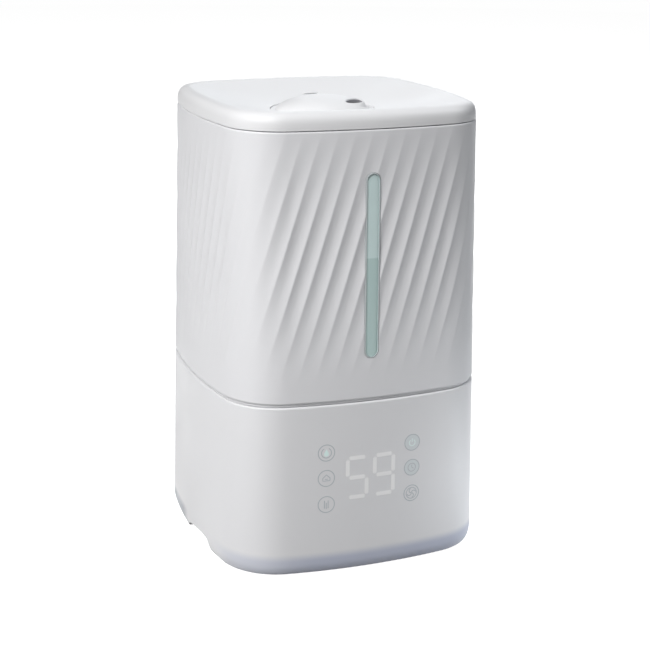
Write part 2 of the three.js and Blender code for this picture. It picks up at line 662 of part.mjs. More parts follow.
add("fan_frame", fanFrame(), BLACK);
add("fan_motor", rod(FAN.motor, FAN.z0 + 2.3, FAN.z1 - 3, 0, FAN.y, 20), finish(0xb07a45, 0.45, 0.6));
add("fan_rotor", fanRotor(), BLACK);
add("air_duct", airDuct(), GREY);
add("power_inlet", powerInlet(), BLACK);
const pinZ = (INLET.z0 + INLET.z1) / 2;
const pinY = INLET.recessY + GAP;
add("inlet_pin_left", rodAlongY(1.2, pinY, 99, INLET.pin, pinZ, 12), STEEL);
add("inlet_pin_right", rodAlongY(1.2, pinY, 99, -INLET.pin, pinZ, 12), STEEL);
add("float_ring", floatRing(), SILICONE);
add("float_magnet", tube(5, 9, 101.7, 103.6, FLOAT.x, FLOAT.y, 20), STEEL);
add("float_clip", tube(2.9, 5.4, 114.6, 116, FLOAT.x, FLOAT.y, 16), GREY);
add("level_sensor", box(LEVEL_SENSOR.low, LEVEL_SENSOR.high), BLACK);

add("tank_shell", tankShell(), WHITE);
add("tank_floor", tankFloor(), finish(0xe6e8ea, 0.4));
add("mist_chimney", mistChimney(), WHITE);
add("level_window", levelWindow(), AQUA);
add("valve_seat", valveSeat(), WHITE);
add("valve_spring", valveSpring(), STEEL);
add("valve_plunger", valvePlunger(), GREY);
add("valve_seal", valveSeal(), SILICONE);

add("lid_cover", lidCover(), WHITE);
add("lid_liner", lidLiner(), WHITE);
add("lid_gasket", lidGasket(), SILICONE);
add("nozzle_o_ring", tube(29.8, 31.4, 309.4, 311, 0, 0, 28), SILICONE);
add("nozzle_cap", nozzleCap(), WHITE);
add("nozzle_baffle", nozzleBaffle(), WHITE);

export default humidifier;
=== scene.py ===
# The looks of a cool mist humidifier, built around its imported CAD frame. Metres, +Z up; the display faces -Y.

import json
import math

import bmesh
import bpy
import numpy as np
from mathutils import Matrix, Vector


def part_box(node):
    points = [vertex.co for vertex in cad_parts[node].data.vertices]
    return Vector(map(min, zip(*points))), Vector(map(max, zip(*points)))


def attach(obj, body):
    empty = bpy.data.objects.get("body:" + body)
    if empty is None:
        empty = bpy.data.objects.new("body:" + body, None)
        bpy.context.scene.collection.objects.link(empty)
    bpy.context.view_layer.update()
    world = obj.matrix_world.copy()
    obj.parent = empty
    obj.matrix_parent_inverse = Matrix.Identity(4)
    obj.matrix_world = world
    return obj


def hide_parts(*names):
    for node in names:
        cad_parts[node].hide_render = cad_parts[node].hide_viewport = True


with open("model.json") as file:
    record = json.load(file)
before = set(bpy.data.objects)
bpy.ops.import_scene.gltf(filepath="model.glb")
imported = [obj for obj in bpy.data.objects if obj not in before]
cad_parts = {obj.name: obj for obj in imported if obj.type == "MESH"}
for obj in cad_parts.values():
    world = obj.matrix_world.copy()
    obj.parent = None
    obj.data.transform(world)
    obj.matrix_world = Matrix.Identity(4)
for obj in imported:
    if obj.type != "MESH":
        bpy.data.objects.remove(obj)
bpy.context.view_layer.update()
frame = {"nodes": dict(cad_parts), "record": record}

MM = 0.001


def mm(*values):
    """Millimetres in metres."""
    return tuple(v * MM for v in values)


# --- sizes, from the frame ---

HOUSING_LOW, HOUSING_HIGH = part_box("base_housing")
SKIRT_LOW, SKIRT_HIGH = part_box("base_skirt")
SHELL_LOW, SHELL_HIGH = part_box("tank_shell")
LID_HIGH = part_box("lid_cover")[1]
WINDOW_LOW, WINDOW_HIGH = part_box("level_window")
NOZZLE_LOW, NOZZLE_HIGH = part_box("nozzle_cap")

SEAM_Z = 124.4 * MM
DRAFT = 0.0218
CORNER_RADIUS = 43 * MM
SIDE_BOW = 4.1 * MM
WALL = 2.6 * MM

TANK_COLUMNS = 221  # mesh columns along one side of the tank
FLUTE_COLUMNS = 16  # of them, across one flute
FLUTE_DEPTH = 1.25 * MM
FLUTE_LEAN = 0.29
FLUTE_MIDDLE = 228 * MM
FLUTE_HALF_HEIGHT = 88 * MM
FLUTE_POWER = 1.3  # of their fading out towards the top and the foot

WINDOW_FLANGE = 3.8 * MM
WATER_Z = 226 * MM


def half_width(z):
    """Half the body's width across its flats at height z."""
    return HOUSING_HIGH.x - DRAFT * (z - HOUSING_LOW.z)


# --- outlines ---


def outline(half, corner, bow=SIDE_BOW, side_steps=24, corner_steps=16):
    """The rounded square with bulging sides, anticlockwise from the middle of the front (-Y) side."""
    flat = half - corner - bow
    side_radius = (flat * flat + bow * bow) / (2 * bow)
    swing = math.asin(flat / side_radius)
    middle = flat + bow - side_radius
    arcs = [
        ((middle, 0), side_radius + corner, 0, swing, side_steps // 2),
        ((flat, flat), corner, swing, math.pi / 2 - swing, corner_steps),
        ((0, middle), side_radius + corner, math.pi / 2 - swing, math.pi / 2, side_steps // 2),
    ]
    quarter = []
    for (cx, cy), radius, start, end, steps in arcs:
        angles = np.linspace(start, end, steps, endpoint=False)
        quarter.append(np.column_stack([cx + radius * np.cos(angles), cy + radius * np.sin(angles)]))
    quarter = np.concatenate(quarter)
    sides = []
    for side in range(4):
        turn = (side - 1) * math.pi / 2
        c, s = math.cos(turn), math.sin(turn)
        sides.append(quarter @ np.array([[c, s], [-s, c]]))
    return np.concatenate(sides)


def ring(z, inset=0.0, half=None, roundness=0.0, corner=None, bow=SIDE_BOW, **steps):
    """One level of the body, set in by inset, or of its own half width. roundness blends it to a circle."""
    half = half_width(z) - inset if half is None else half
    if corner is None:
        corner = max(CORNER_RADIUS - (HALF_AT_SEAM - half), 3 * MM)
    if roundness >= 1:
        points = outline(half, min(corner, half * 0.5), min(bow, half * 0.04), **steps)
    else:
        points = outline(half, corner, bow, **steps)
    if roundness:
        evened = points / np.linalg.norm(points, axis=1)[:, None] * half
        points = points * (1 - roundness) + evened * roundness
    return np.column_stack([points, np.full(len(points), z)])


def near(z, inset, *offsets):
    """(z, inset) rows, each offset in mm from the first."""
    return [(z + dz * MM, inset + di * MM) for dz, di in offsets]


def rings(*rows, make=ring):
    """Levels of the body; each row is (z, inset)."""
    return [make(z, inset) for z, inset in rows]


def circles(*rows, make=ring):
    """Round levels; each row is (z, radius)."""
    return [make(z, half=radius, roundness=1) for z, radius in rows]


HALF_AT_SEAM = half_width(SEAM_Z)


def front_y(x, z, inset=0.0):
    """Y of the front wall at x and z; inset goes into the wall."""
    half = half_width(z) - inset
    corner = CORNER_RADIUS - (HALF_AT_SEAM - half)
    flat = half - corner - SIDE_BOW
    side_radius = (flat * flat + SIDE_BOW * SIDE_BOW) / (2 * SIDE_BOW)
    return -(flat + SIDE_BOW - side_radius + math.sqrt((side_radius + corner) ** 2 - x * x))


# --- meshes ---


def smooth(obj, angle=35):
    obj.data.shade_smooth()
    obj.data.set_sharp_from_angle(angle=math.radians(angle))
    return obj


def add_object(name, data):
    obj = bpy.data.objects.new(name, data)
    bpy.context.scene.collection.objects.link(obj)
    return obj


def mesh_object(name, vertices, faces, angle=35):
    mesh = bpy.data.meshes.new(name)
    mesh.from_pydata(np.asarray(vertices).tolist(), [], faces)
    mesh.validate()
    return smooth(add_object(name, mesh), angle)


def skin(name, levels, closed=True, angle=35):
    """A surface through rings of points. closed joins the last ring to the first; if not, both are capped."""
    count, last = len(levels[0]), len(levels) - 1
    vertices = np.concatenate(levels)
    faces = []
    for row in range(last + closed):
        below, above = row * count, ((row + 1) % len(levels)) * count
        for i in range(count):
            j = (i + 1) % count
            faces.append((below + i, below + j, above + j, above + i))
    if not closed:
        faces.append(tuple(reversed(range(count))))
        faces.append(tuple(range(last * count, len(vertices))))
    return mesh_object(name, vertices, faces, angle)


def fillet(points, radius, steps=4):
    """Rounds the corners of a closed loop of points; radius is one value, or one for each point."""
    points = [np.array(p, float) for p in points]
    radii = radius if isinstance(radius, (list, tuple)) else [radius] * len(points)
    out = []
    for i, (point, r) in enumerate(zip(points, radii)):
        before, after = points[i - 1] - point, points[(i + 1) % len(points)] - point
        a, b = before / np.linalg.norm(before), after / np.linalg.norm(after)
        half_angle = math.acos(float(np.clip(a[:2] @ b[:2], -1, 1))) / 2
        if r <= 0 or half_angle > 1.5:
            out.append(point)
            continue
        reach = min(np.linalg.norm(before), np.linalg.norm(after)) * 0.49
        cut = min(r / math.tan(half_angle), reach)
        start, end = point + a * cut, point + b * cut
        for t in np.linspace(0, 1, steps + 1):
            out.append((1 - t) ** 2 * start + 2 * t * (1 - t) * point + t * t * end)
    return out


def support(loop, close=0.25 * MM, far=12 * MM):
    """Adds points near the ends of a loop's long stretches, and along them, to keep shading true."""
    out = []
    for i, point in enumerate(loop):
        out.append(point)
        after = loop[(i + 1) % len(loop)]
        length = np.linalg.norm((after - point)[:2])
        if length < 5 * close:
            continue
        ends = [close / length, 1 - close / length]
        between = np.linspace(*ends, max(2, int(length / far) + 2))
        out.extend(point + (after - point) * t for t in between)
    return out


def wall(name, profile, radius):
    """A wall that follows the body's outline. profile is a closed loop of (inset, z), outside going up."""
    return skin(name, [ring(z, inset) for inset, z in support(fillet(profile, radius))])


def round_level(radius, z, steps, centre=(0, 0)):
    turns = np.linspace(0, 2 * math.pi, steps, endpoint=False)
    x, y = centre
    return np.column_stack([x + radius * np.cos(turns), y + radius * np.sin(turns), np.full(steps, z)])


def revolve(name, profile, centre, radius, segments=96):
    """A body of revolution about a vertical axis. profile is a loop of (radius, z), outside going up."""
    loop = support(fillet(profile, radius))
    obj = skin(name, [round_level(r, z, segments, centre) for r, z in loop])
    if any(r < 1e-6 for r, _ in loop):
        smooth(weld(obj))
    return obj


def edit(obj, change):
    """Runs change on the object's mesh as a bmesh."""
    bm = bmesh.new()
    bm.from_mesh(obj.data)
    change(bm)
    bm.to_mesh(obj.data)
    bm.free()
    return obj


def weld(obj, distance=1e-6, least_area=1e-14):
    def change(bm):
        bmesh.ops.remove_doubles(bm, verts=bm.verts, dist=distance)
        bmesh.ops.dissolve_degenerate(bm, edges=bm.edges, dist=distance)
        loose = [face for face in bm.faces if face.calc_area() < least_area]
        bmesh.ops.delete(bm, geom=loose, context="FACES")
    return edit(obj, change)


def face_outward(obj):
    return edit(obj, lambda bm: bmesh.ops.recalc_face_normals(bm, faces=bm.faces))


def boolean(obj, tool, operation="DIFFERENCE", angle=35):
    """Cuts or joins obj with tool, and removes tool."""
    modifier = obj.modifiers.new("cut", "BOOLEAN")
    modifier.operation = operation
    modifier.object = tool
    modifier.solver = "EXACT"
    evaluated = obj.evaluated_get(bpy.context.evaluated_depsgraph_get())
    made = bpy.data.meshes.new_from_object(evaluated)
    obj.modifiers.clear()
    old = obj.data
    obj.data = made
    bpy.data.meshes.remove(old)
    bpy.data.objects.remove(tool)
    return smooth(obj, angle)


def prism(points, low, high, axis="z"):
    """A flat outline pushed along an axis. Points are the other two coordinates, in X, Y, Z order."""
    ends = [np.insert(np.array(points), "xyz".index(axis), level, axis=1) for level in (low, high)]
    return face_outward(skin("tool", ends, closed=False))


def rounded_rectangle(half_x, half_y, radius, centre=(0, 0), steps=8):
    points = []
    for sx, sy, start in ((1, 1, 0), (-1, 1, 90), (-1, -1, 180), (1, -1, 270)):
        for a in np.radians(np.linspace(start, start + 90, steps)):
            points.append((centre[0] + sx * (half_x - radius) + radius * math.cos(a),
                           centre[1] + sy * (half_y - radius) + radius * math.sin(a)))
    return points


def circle(radius, centre=(0, 0), steps=64):
    turns = np.linspace(0, 2 * math.pi, steps, endpoint=False)
    return [(centre[0] + radius * math.cos(a), centre[1] + radius * math.sin(a)) for a in turns]


# --- materials ---


class Graph:
    """A material's nodes. Node inputs are given as numbers, colours or other nodes' outputs."""

    def __init__(self, tree):
        self.tree = tree
        self.place = self.add("TexCoord").outputs["Object"]

    def fill(self, node, inputs):
        for name, value in inputs.items():
            if isinstance(value, bpy.types.NodeSocket):
                self.tree.links.new(value, node.inputs[name])
            else:
                node.inputs[name].default_value = value

    def add(self, kind, inputs=None, **settings):
        node = self.tree.nodes.new("ShaderNode" + kind)
        for name, value in settings.items():
            setattr(node, name, value)
        self.fill(node, inputs or {})
        return node

    def noise(self, scale, detail):
        return self.add("TexNoise", {"Vector": self.place, "Scale": scale, "Detail": detail}).outputs["Fac"]

    def ramp(self, value, start, end, low=0, high=1, kind="SMOOTHSTEP"):
        inputs = {"Value": value, "From Min": start, "From Max": end, "To Min": low, "To Max": high}
        return self.add("MapRange", inputs, interpolation_type=kind).outputs["Result"]

    def times(self, a, b):
        return self.add("Math", {0: a, 1: b}, operation="MULTIPLY").outputs["Value"]

    def mix(self, factor, a, b, **settings):
        a, b = (c if isinstance(c, bpy.types.NodeSocket) else (*c, 1) for c in (a, b))
        node = self.add("Mix", {"Factor": factor, "A": a, "B": b}, data_type="RGBA", **settings)
        return node.outputs["Result"]


def material(name, colour, roughness, grain=(1400, 0.012), mottle=(25, 0.02, 0.06), sockets=(), colours=None):
    """Moulded plastic, metal or rubber. grain is (per metre, height in mm); mottle is (per metre, change of
    colour, change of roughness). colours(graph, base) may add to the base colour."""
    made = bpy.data.materials.new(name)
    made.use_nodes = True
    graph = Graph(made.node_tree)
    wide = graph.noise(mottle[0], 3)
    dark = [max(0, c * (1 - mottle[1])) for c in colour]
    light = [min(1, c * (1 + mottle[1])) for c in colour]
    base = graph.mix(wide, dark, light)
    if colours:
        base = colours(graph, base)
    gloss = graph.ramp(wide, 0.3, 0.7, roughness - mottle[2], roughness + mottle[2], "LINEAR")
    bump = graph.add("Bump", {"Height": graph.noise(grain[0], 2), "Strength": 1, "Distance": grain[1] * MM})
    graph.fill(made.node_tree.nodes["Principled BSDF"],
               {"Base Color": base, "Roughness": gloss, "Normal": bump.outputs["Normal"], **dict(sockets)})
    return made


def water_tint(graph, base):
    """Darkens and deepens the colour below the water line, as seen through the level window."""
    z = graph.add("SeparateXYZ", {"Vector": graph.place}).outputs["Z"]
    return graph.mix(graph.ramp(z, WATER_Z - 0.6 * MM, WATER_Z + 0.6 * MM, 1, 0, "LINEAR"), base, AQUA_BELOW)


def band_painted_shade(graph, base):
    """Paints shade onto the band: the body's white runs into a bluish grey of painted shade and reflection at
    the front, and into a darker grey of painted shade at the back, both deepening down from the band's top.
    """
    x, y, z = graph.add("SeparateXYZ", {"Vector": graph.place}).outputs
    depth = graph.ramp(z, SKIRT_HIGH.z, SKIRT_HIGH.z - 7 * MM)
    # the painted shade is full on the front, weaker at its left, where the light falls, and gone by the front
    # end of the hand opening
    front = graph.ramp(y, -38 * MM, -88 * MM)
    left = graph.ramp(x, -92 * MM, -30 * MM, 0.6)
    shaded_front = graph.mix(graph.times(graph.times(depth, front), left), base, BAND_SHADE)
    behind = graph.ramp(y, 4 * MM, 26 * MM)
    return graph.mix(graph.times(depth, behind), shaded_front, BAND_SHADE_BEHIND)


def ink_and_glow(colour):
    """Print, and for the lit digits and icons a painted glow: a colour whose strength is in the mesh's own
    values; at none it's the wall's white.
    """
    def colours(graph, base):
        strength = graph.add("Attribute", attribute_name="ink_and_glow").outputs["Fac"]
        return graph.mix(strength, base, colour)
    return colours


def tracks(graph, _):
    """Copper tracks under a board's green lacquer, and pale solder points."""
    grid = graph.add("TexBrick", {
        "Vector": graph.place, "Scale": 180, "Mortar Size": 0.04, "Color1": (0.02, 0.16, 0.08, 1),
        "Color2": (0.03, 0.20, 0.10, 1), "Mortar": (0.10, 0.36, 0.20, 1),
    })
    points = graph.add("TexVoronoi", {"Vector": graph.place, "Scale": 260})
    dots = graph.add("Math", {0: points.outputs["Distance"], 1: 0.22}, operation="LESS_THAN")
    return graph.mix(dots.outputs["Value"], grid.outputs["Color"], (0.62, 0.62, 0.60))


def windings(graph, base):
    """Fine turns of wire or tape around an upright axis."""
    wave = graph.add("TexWave", {"Vector": graph.place, "Scale": 250}, bands_direction="Z")
    return graph.mix(0.35, base, wave.outputs["Color"], blend_type="MULTIPLY")


AQUA_ABOVE = (0.60, 0.76, 0.75)
AQUA_BELOW = (0.44, 0.61, 0.59)
# painted shade for the band: a bluish grey, with painted reflection, at the front, and a darker grey at the
# back
BAND_SHADE = (0.50, 0.53, 0.635)
BAND_SHADE_BEHIND = (0.34, 0.36, 0.40)
WALL_WHITE = (0.80, 0.80, 0.815)

SATIN = {"Specular IOR Level": 0.45}

WHITE = material("satin_white", WALL_WHITE, 0.42, sockets=SATIN)
TANK = material("tank_satin", (0.80, 0.80, 0.818), 0.46, (1700, 0.016), sockets=SATIN)
LID = material("lid_satin", (0.83, 0.83, 0.84), 0.40, sockets=SATIN)
INNER = material("inner_white", (0.78, 0.78, 0.78), 0.5, (900, 0.02))
# the band's white, with shade painted into it towards its foot
SKIRT = material("skirt_tint", WALL_WHITE, 0.42, sockets=SATIN, colours=band_painted_shade)
GREY = material("grey_plastic", (0.33, 0.33, 0.35), 0.6, (800, 0.03))
RUBBER = material("foot_rubber", (0.10, 0.10, 0.11), 0.8, (600, 0.05), (60, 0.1, 0.08))
STEEL = material("steel", (0.55, 0.56, 0.58), 0.32, (2500, 0.006), sockets={"Metallic": 1})
SILICONE = material("silicone", (0.72, 0.75, 0.76), 0.62, (900, 0.02), sockets={"Subsurface Weight": 0.2})
CERAMIC = material("ceramic_disc", (0.60, 0.56, 0.46), 0.25, (1500, 0.01), (90, 0.08, 0.06))
BOARD = material("circuit_board", (0.02, 0.2, 0.1), 0.45, (1200, 0.02), colours=tracks)
ALUMINIUM = material("aluminium", (0.60, 0.61, 0.63), 0.38, (2200, 0.01), sockets={"Metallic": 1})
TAPE = material("transformer_tape", (0.56, 0.42, 0.08), 0.5, (700, 0.03), colours=windings)
BLACK = material("black_plastic", (0.025, 0.025, 0.028), 0.5, (1000, 0.03))
COPPER = material("motor_copper", (0.60, 0.30, 0.14), 0.35, (1500, 0.01), sockets={"Metallic": 0.8},
                  colours=windings)
AQUA = material("aqua_window", AQUA_ABOVE, 0.16, (500, 0.006), (40, 0.03, 0.04),
                {"Coat Weight": 0.5, "Coat Roughness": 0.05}, colours=water_tint)
FRAME_GREY = material("window_edge", (0.50, 0.54, 0.55), 0.35, (900, 0.01))
LED = material("digit_light", (0.93, 0.94, 0.97), 0.4, (1200, 0.006), (60, 0.02, 0.04),
               {"Emission Color": (0.90, 0.93, 1.0, 1), "Emission Strength": 0.25})
# the digits' and the lit icons' marks are painted glow, colours lighter than the wall where the display shines
# through; the icon lines and discs are print
DIGIT_GLOW, INK, LIT, TINTED = (
    material(name, WALL_WHITE, 0.42, sockets=SATIN, colours=ink_and_glow(colour)) for name, colour in (
        ("digit_painted_glow", (1.0, 1.0, 1.0)), ("icon_ink", (0.46, 0.51, 0.54)),
        ("icon_light", (0.84, 1.0, 0.98)), ("icon_disc", (0.72, 0.765, 0.78)))
)
STUDIO = material("studio_white", (0.93, 0.93, 0.93), 0.9, (300, 0.01), (3, 0.005, 0.02),
                  {"Emission Color": (1, 1, 1, 1), "Emission Strength": 0.95, "Specular IOR Level": 0})

BODY_OF = {
    node: body for body, members in frame["record"]["behaviour"]["bodies"].items() for node in members
}


def paint(obj, look):
    obj.data.materials.clear()
    obj.data.materials.append(look)


def settle(obj, look, node=None, body=None):
    """Gives a finished piece its material and its body; node is the CAD piece it stands for."""
    paint(obj, look)
    if node:
        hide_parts(node)
    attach(obj, body or BODY_OF[node])


def bevel(obj, width, segments=1, angle=30):
    edge = obj.modifiers.new("edge", "BEVEL")
    edge.width, edge.segments = width, segments
    edge.limit_method, edge.angle_limit = "ANGLE", math.radians(angle)


def middle_of(node):
    return [(low + high) / 2 for low, high in zip(*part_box(node))]


def span(node):
    return [corner.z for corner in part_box(node)]


def round_box(node):
    """The low and high z, the radius and the centre of a round, upright CAD piece."""
    low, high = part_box(node)
    return low.z, high.z, (high.x - low.x) / 2, middle_of(node)[:2]


def turned(name, node, look, profile, rounding, centre=(0, 0), segments=64):
    settle(revolve(name, profile, centre, rounding, segments), look, node)


def washer(name, node, look, inner, rounding, centre=(0, 0), segments=64):
    """A plain ring as large as the CAD piece."""
    low, high, outer, _ = round_box(node)
    profile = [(outer, low), (outer, high), (inner, high), (inner, low)]
    turned(name, node, look, profile, rounding, centre, segments)


CORNERS = ("front_left", "front_right", "back_right", "back_left")


# --- base ---

BACK_CUT = mm(90, 110)  # from inside the back wall to outside it
SKIRT_STEPS = 18
SKIRT_FOOT, SKIRT_POWER = 2.2 * MM, 5  # how far the band's foot turns in, and how late
# the hand opening in each side of the band: (y, z) in mm, from its steep front end to its long back slope
ARCH_EDGE = [(-40.4, -4), (-39.8, 4.2), (-36.5, 9.2), (-27, 10.5), (-8, 9.0), (3, 7.0), (9.5, 2.2), (15, -4)]


def skirt_inset(z):
    rise = (SKIRT_HIGH.z - z) / (SKIRT_HIGH.z - SKIRT_LOW.z)
    return 0.02 * MM + SKIRT_FOOT * rise ** SKIRT_POWER


def make_skirt():
    thickness, rim, arch_radius = mm(3, 0.6, 40)
    top = HOUSING_LOW.z - 0.02 * MM
    heights = SKIRT_LOW.z + (top - SKIRT_LOW.z) * np.linspace(0, 1, SKIRT_STEPS) ** 1.6
    outside = [(skirt_inset(z), z) for z in heights]
    inside = [(inset + thickness, z) for inset, z in reversed(outside)]
    radii = [rim, *[0] * (2 * SKIRT_STEPS - 2), rim]
    skirt = skin("base_band", [ring(z, inset) for inset, z in fillet(outside + inside, radii, 3)])
    arch = [tuple(p) for p in fillet([mm(*p) for p in ARCH_EDGE], arch_radius, 6)]
    reach = 2 * SKIRT_HIGH.x
    boolean(skirt, prism(arch, -reach, reach, "x"))
    settle(skirt, SKIRT, "base_skirt")


def make_housing():
    low, high = HOUSING_LOW.z, HOUSING_HIGH.z
    housing = wall("base_body", [(0, low), (0, high), (WALL, high), (WALL, low)], mm(0, 1.5, 0.7, 0.4))
    hole = rounded_rectangle(*mm(13, 11, 1.5), (0, middle_of("power_inlet")[2]))
    boolean(housing, prism(hole, *BACK_CUT, "y"))
    sensor = "humidity_sensor"
    for slot in range(4):
        centre = (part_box(sensor)[0].x + (2 + 5 * slot) * MM, middle_of(sensor)[2])
        boolean(housing, prism(rounded_rectangle(*mm(1, 7, 0.98), centre), *mm(93, 110), "y"))
    settle(housing, WHITE, "base_housing")


def make_feet():
    for corner in CORNERS:
        node = f"foot_{corner}"
        low, high, radius, centre = round_box(node)
        profile = [(0, low), (radius, low), (radius, high), (0, high)]
        turned(f"{node}_pad", node, RUBBER, profile, mm(0, 0.9, 0.4, 0), centre)


def make_screws():
    """Pan-head screws; the heads face away from the plastic they hold."""
    shank, thick, cut, long, narrow, end = mm(1.45, 1.6, 0.9, 1.8, 0.35, 0.2)
    for place, up in (("bottom", -1), ("deck", 1)):
        for corner in CORNERS:
            node = f"{place}_screw_{corner}"
            low, high, head, centre = round_box(node)
            tip, face = (low, high)[::up]
            under = face - up * thick
            profile = [(0, tip), (shank, tip + up * MM), (shank, under), (head, under), (head, face),
                       (0, face)]
            radii = mm(0, 0.3, 0, 0.2, 0.9, 0)
            screw = revolve(f"{node}_turned", profile[::up], centre, radii[::up], 32)
            for shape in ((long, narrow), (narrow, long)):
                boolean(screw, prism(rounded_rectangle(*shape, end, centre, 4), face - cut, face + cut))
            settle(screw, STEEL, node)


def basin_rings(half, radius, *rows):
    """Levels of a rounded square well; each row is (z, inset)."""
    return [ring(z, half=half - inset, corner=radius - inset, bow=0.05 * MM) for z, inset in rows]


def make_deck():
    low, high = span("base_deck")
    inset = WALL + 0.5 * MM
    outside = rings(*near(low, inset, (0, 0), (0.3, 0)),
                    *near(high, inset, (-0.8, 0), (-0.25, 0.2), (0, 0.8), (0, 1.2)))
    inside = basin_rings(*mm(57.6, 13.6), *near(high, 0, (0, -1.4), (0, -1), (-0.3, -0.25), (-1, 0)),
                         (low, 0))
    settle(skin("deck", outside + inside), INNER, "base_deck")


def make_basin():
    node = "water_basin"
    low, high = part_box(node)
    half, radius = high.x, 16 * MM
    top, bottom, floor, thick, turn, window = mm(113.7, 90, 92.4, 2.4, 3, 9)
    rows = basin_rings(half, radius, *near(bottom, 0, (0, 2), (0.6, 0.6), (2, 0)), (top, 0), (top, thick))
    curve = [(floor + turn * (1 - math.sin(a)), turn * (1 - math.cos(a)))
             for a in np.linspace(0, math.pi / 2, 5)]
    rows += basin_rings(half - thick, radius - thick, *curve, (floor, 4 * MM))
    rows += circles(*near(floor, window, (0, 2), (0, 0.6), (-0.5, 0)), (bottom, window))
    basin = skin("basin", rows)
    boolean(basin, prism(circle(15.3 * MM, middle_of("air_duct")[:2], 96), bottom - 1 * MM, floor + 1 * MM))
    settle(basin, INNER, node)

    outer, inner = mm(16, 12.7)
    seat_top = bottom + 0.5 * MM
    profile = [(outer, low.z), (outer, seat_top), (inner, seat_top), (inner, low.z)]
    turned("basin_disc_seat", node, INNER, profile, 0.3 * MM, segments=48)
    start, push_top = floor - 1 * MM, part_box("valve_plunger")[0].z - 0.3 * MM
    for name, around, r, end in (("basin_push_pin", "valve_plunger", 3 * MM, push_top),
                                 ("basin_float_post", "float_ring", 2.6 * MM, high.z)):
        profile = [(0, start), (r, start), (r, end), (0, end)]
        turned(name, node, INNER, profile, mm(0, 0.2, 0.8, 0), middle_of(around)[:2], 48)


def make_duct():
    low, high, wide, centre = round_box("air_duct")
    inner, outer, thick, waist = mm(13, 15, 2, 72)
    profile = [(wide, low), (wide, low + 8 * MM), (outer, waist), (outer, high), (inner, high),
               (inner, waist - 0.6 * MM), (wide - thick, low + 7 * MM), (wide - thick, low)]
    turned("air_tower", "air_duct", INNER, profile, mm(0.3, 3, 6, 0.9, 0.9, 6, 3, 0.3), centre, 96)


def make_float():
    low, top, outer, centre = round_box("float_ring")
    bore, shell, sleeve = mm(3.2, 1.6, 1.5)
    groove = low + 7.4 * MM
    profile = [(outer, low), (outer, top), (outer - shell, top), (outer - shell, groove),
               (bore + sleeve, groove), (bore + sleeve, top), (bore, top), (bore, low)]
    turned("float_body", "float_ring", SILICONE, profile, 0.6 * MM, centre)
    for node, look, inner in (("float_magnet", STEEL, 5 * MM), ("float_clip", GREY, 2.9 * MM)):
        washer(f"{node}_ring", node, look, inner, 0.3 * MM, centre, 48)


def make_inlet():
    node = "power_inlet"
    low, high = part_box(node)
    level = middle_of(node)[2]
    half_z = (high.z - low.z) / 2 - 3 * MM
    half_x, corner, reach, radius = mm(12.7, 1.2, 4.3, 4.4)
    body = prism(rounded_rectangle(half_x, half_z, corner, (0, level)), low.y, high.y, "y")
    body.name = "inlet_body"
    bevel(body, 0.5 * MM, 2)
    recess = [(side * (reach + radius * math.cos(a)), level + side * radius * math.sin(a))
              for side in (1, -1) for a in np.radians(np.linspace(-90, 90, 17))]
    boolean(body, prism(recess, *BACK_CUT, "y"))
    settle(body, BLACK, node)
    for node in ("inlet_pin_left", "inlet_pin_right"):
        low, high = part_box(node)
        x, _, z = middle_of(node)
        r = (high.x - low.x) / 2
        profile = [(0, low.y), (r, low.y), (r, high.y), (0, high.y)]
        pin = revolve(f"{node}_turned", profile, (0, 0), mm(0, 0.1, 0.6, 0), 32)
        pin.data.transform(Matrix.Translation((x, 0, z)) @ Matrix.Rotation(-math.pi / 2, 4, "X"))
        settle(pin, STEEL, node)


# --- display ---


FADE = 0.3 * MM  # half the width over which a print's edge fades into the wall


def print_and_painted_glow(name, shapes, look, depth=0.05 * MM):
    """Thin marks on the curved front wall: print, and the painted glow of the lit digits and icons. Each shape
    is its (x, z) points, its cells and its points' strength of ink and painted glow.
    """
    vertices, faces, strengths = [], [], []
    for points, cells, strength in shapes:
        start, count = len(vertices), len(points)
        for inset in (-depth, 0.2 * MM):
            vertices += [(x, front_y(x, z, inset), z) for x, z in points]
            strengths += strength
        edges = set()
        for cell in cells:
            faces.append(tuple(start + i for i in cell))
            faces.append(tuple(start + count + i for i in reversed(cell)))
            edges.update(zip(cell, cell[1:] + cell[:1]))
        for a, b in edges:
            if (b, a) not in edges:
                faces.append((start + b, start + a, start + count + a, start + count + b))
    obj = face_outward(mesh_object(name, vertices, faces, 40))
    obj.data.attributes.new("ink_and_glow", "FLOAT", "POINT").data.foreach_set("value", strengths)
    settle(obj, look, body="base")


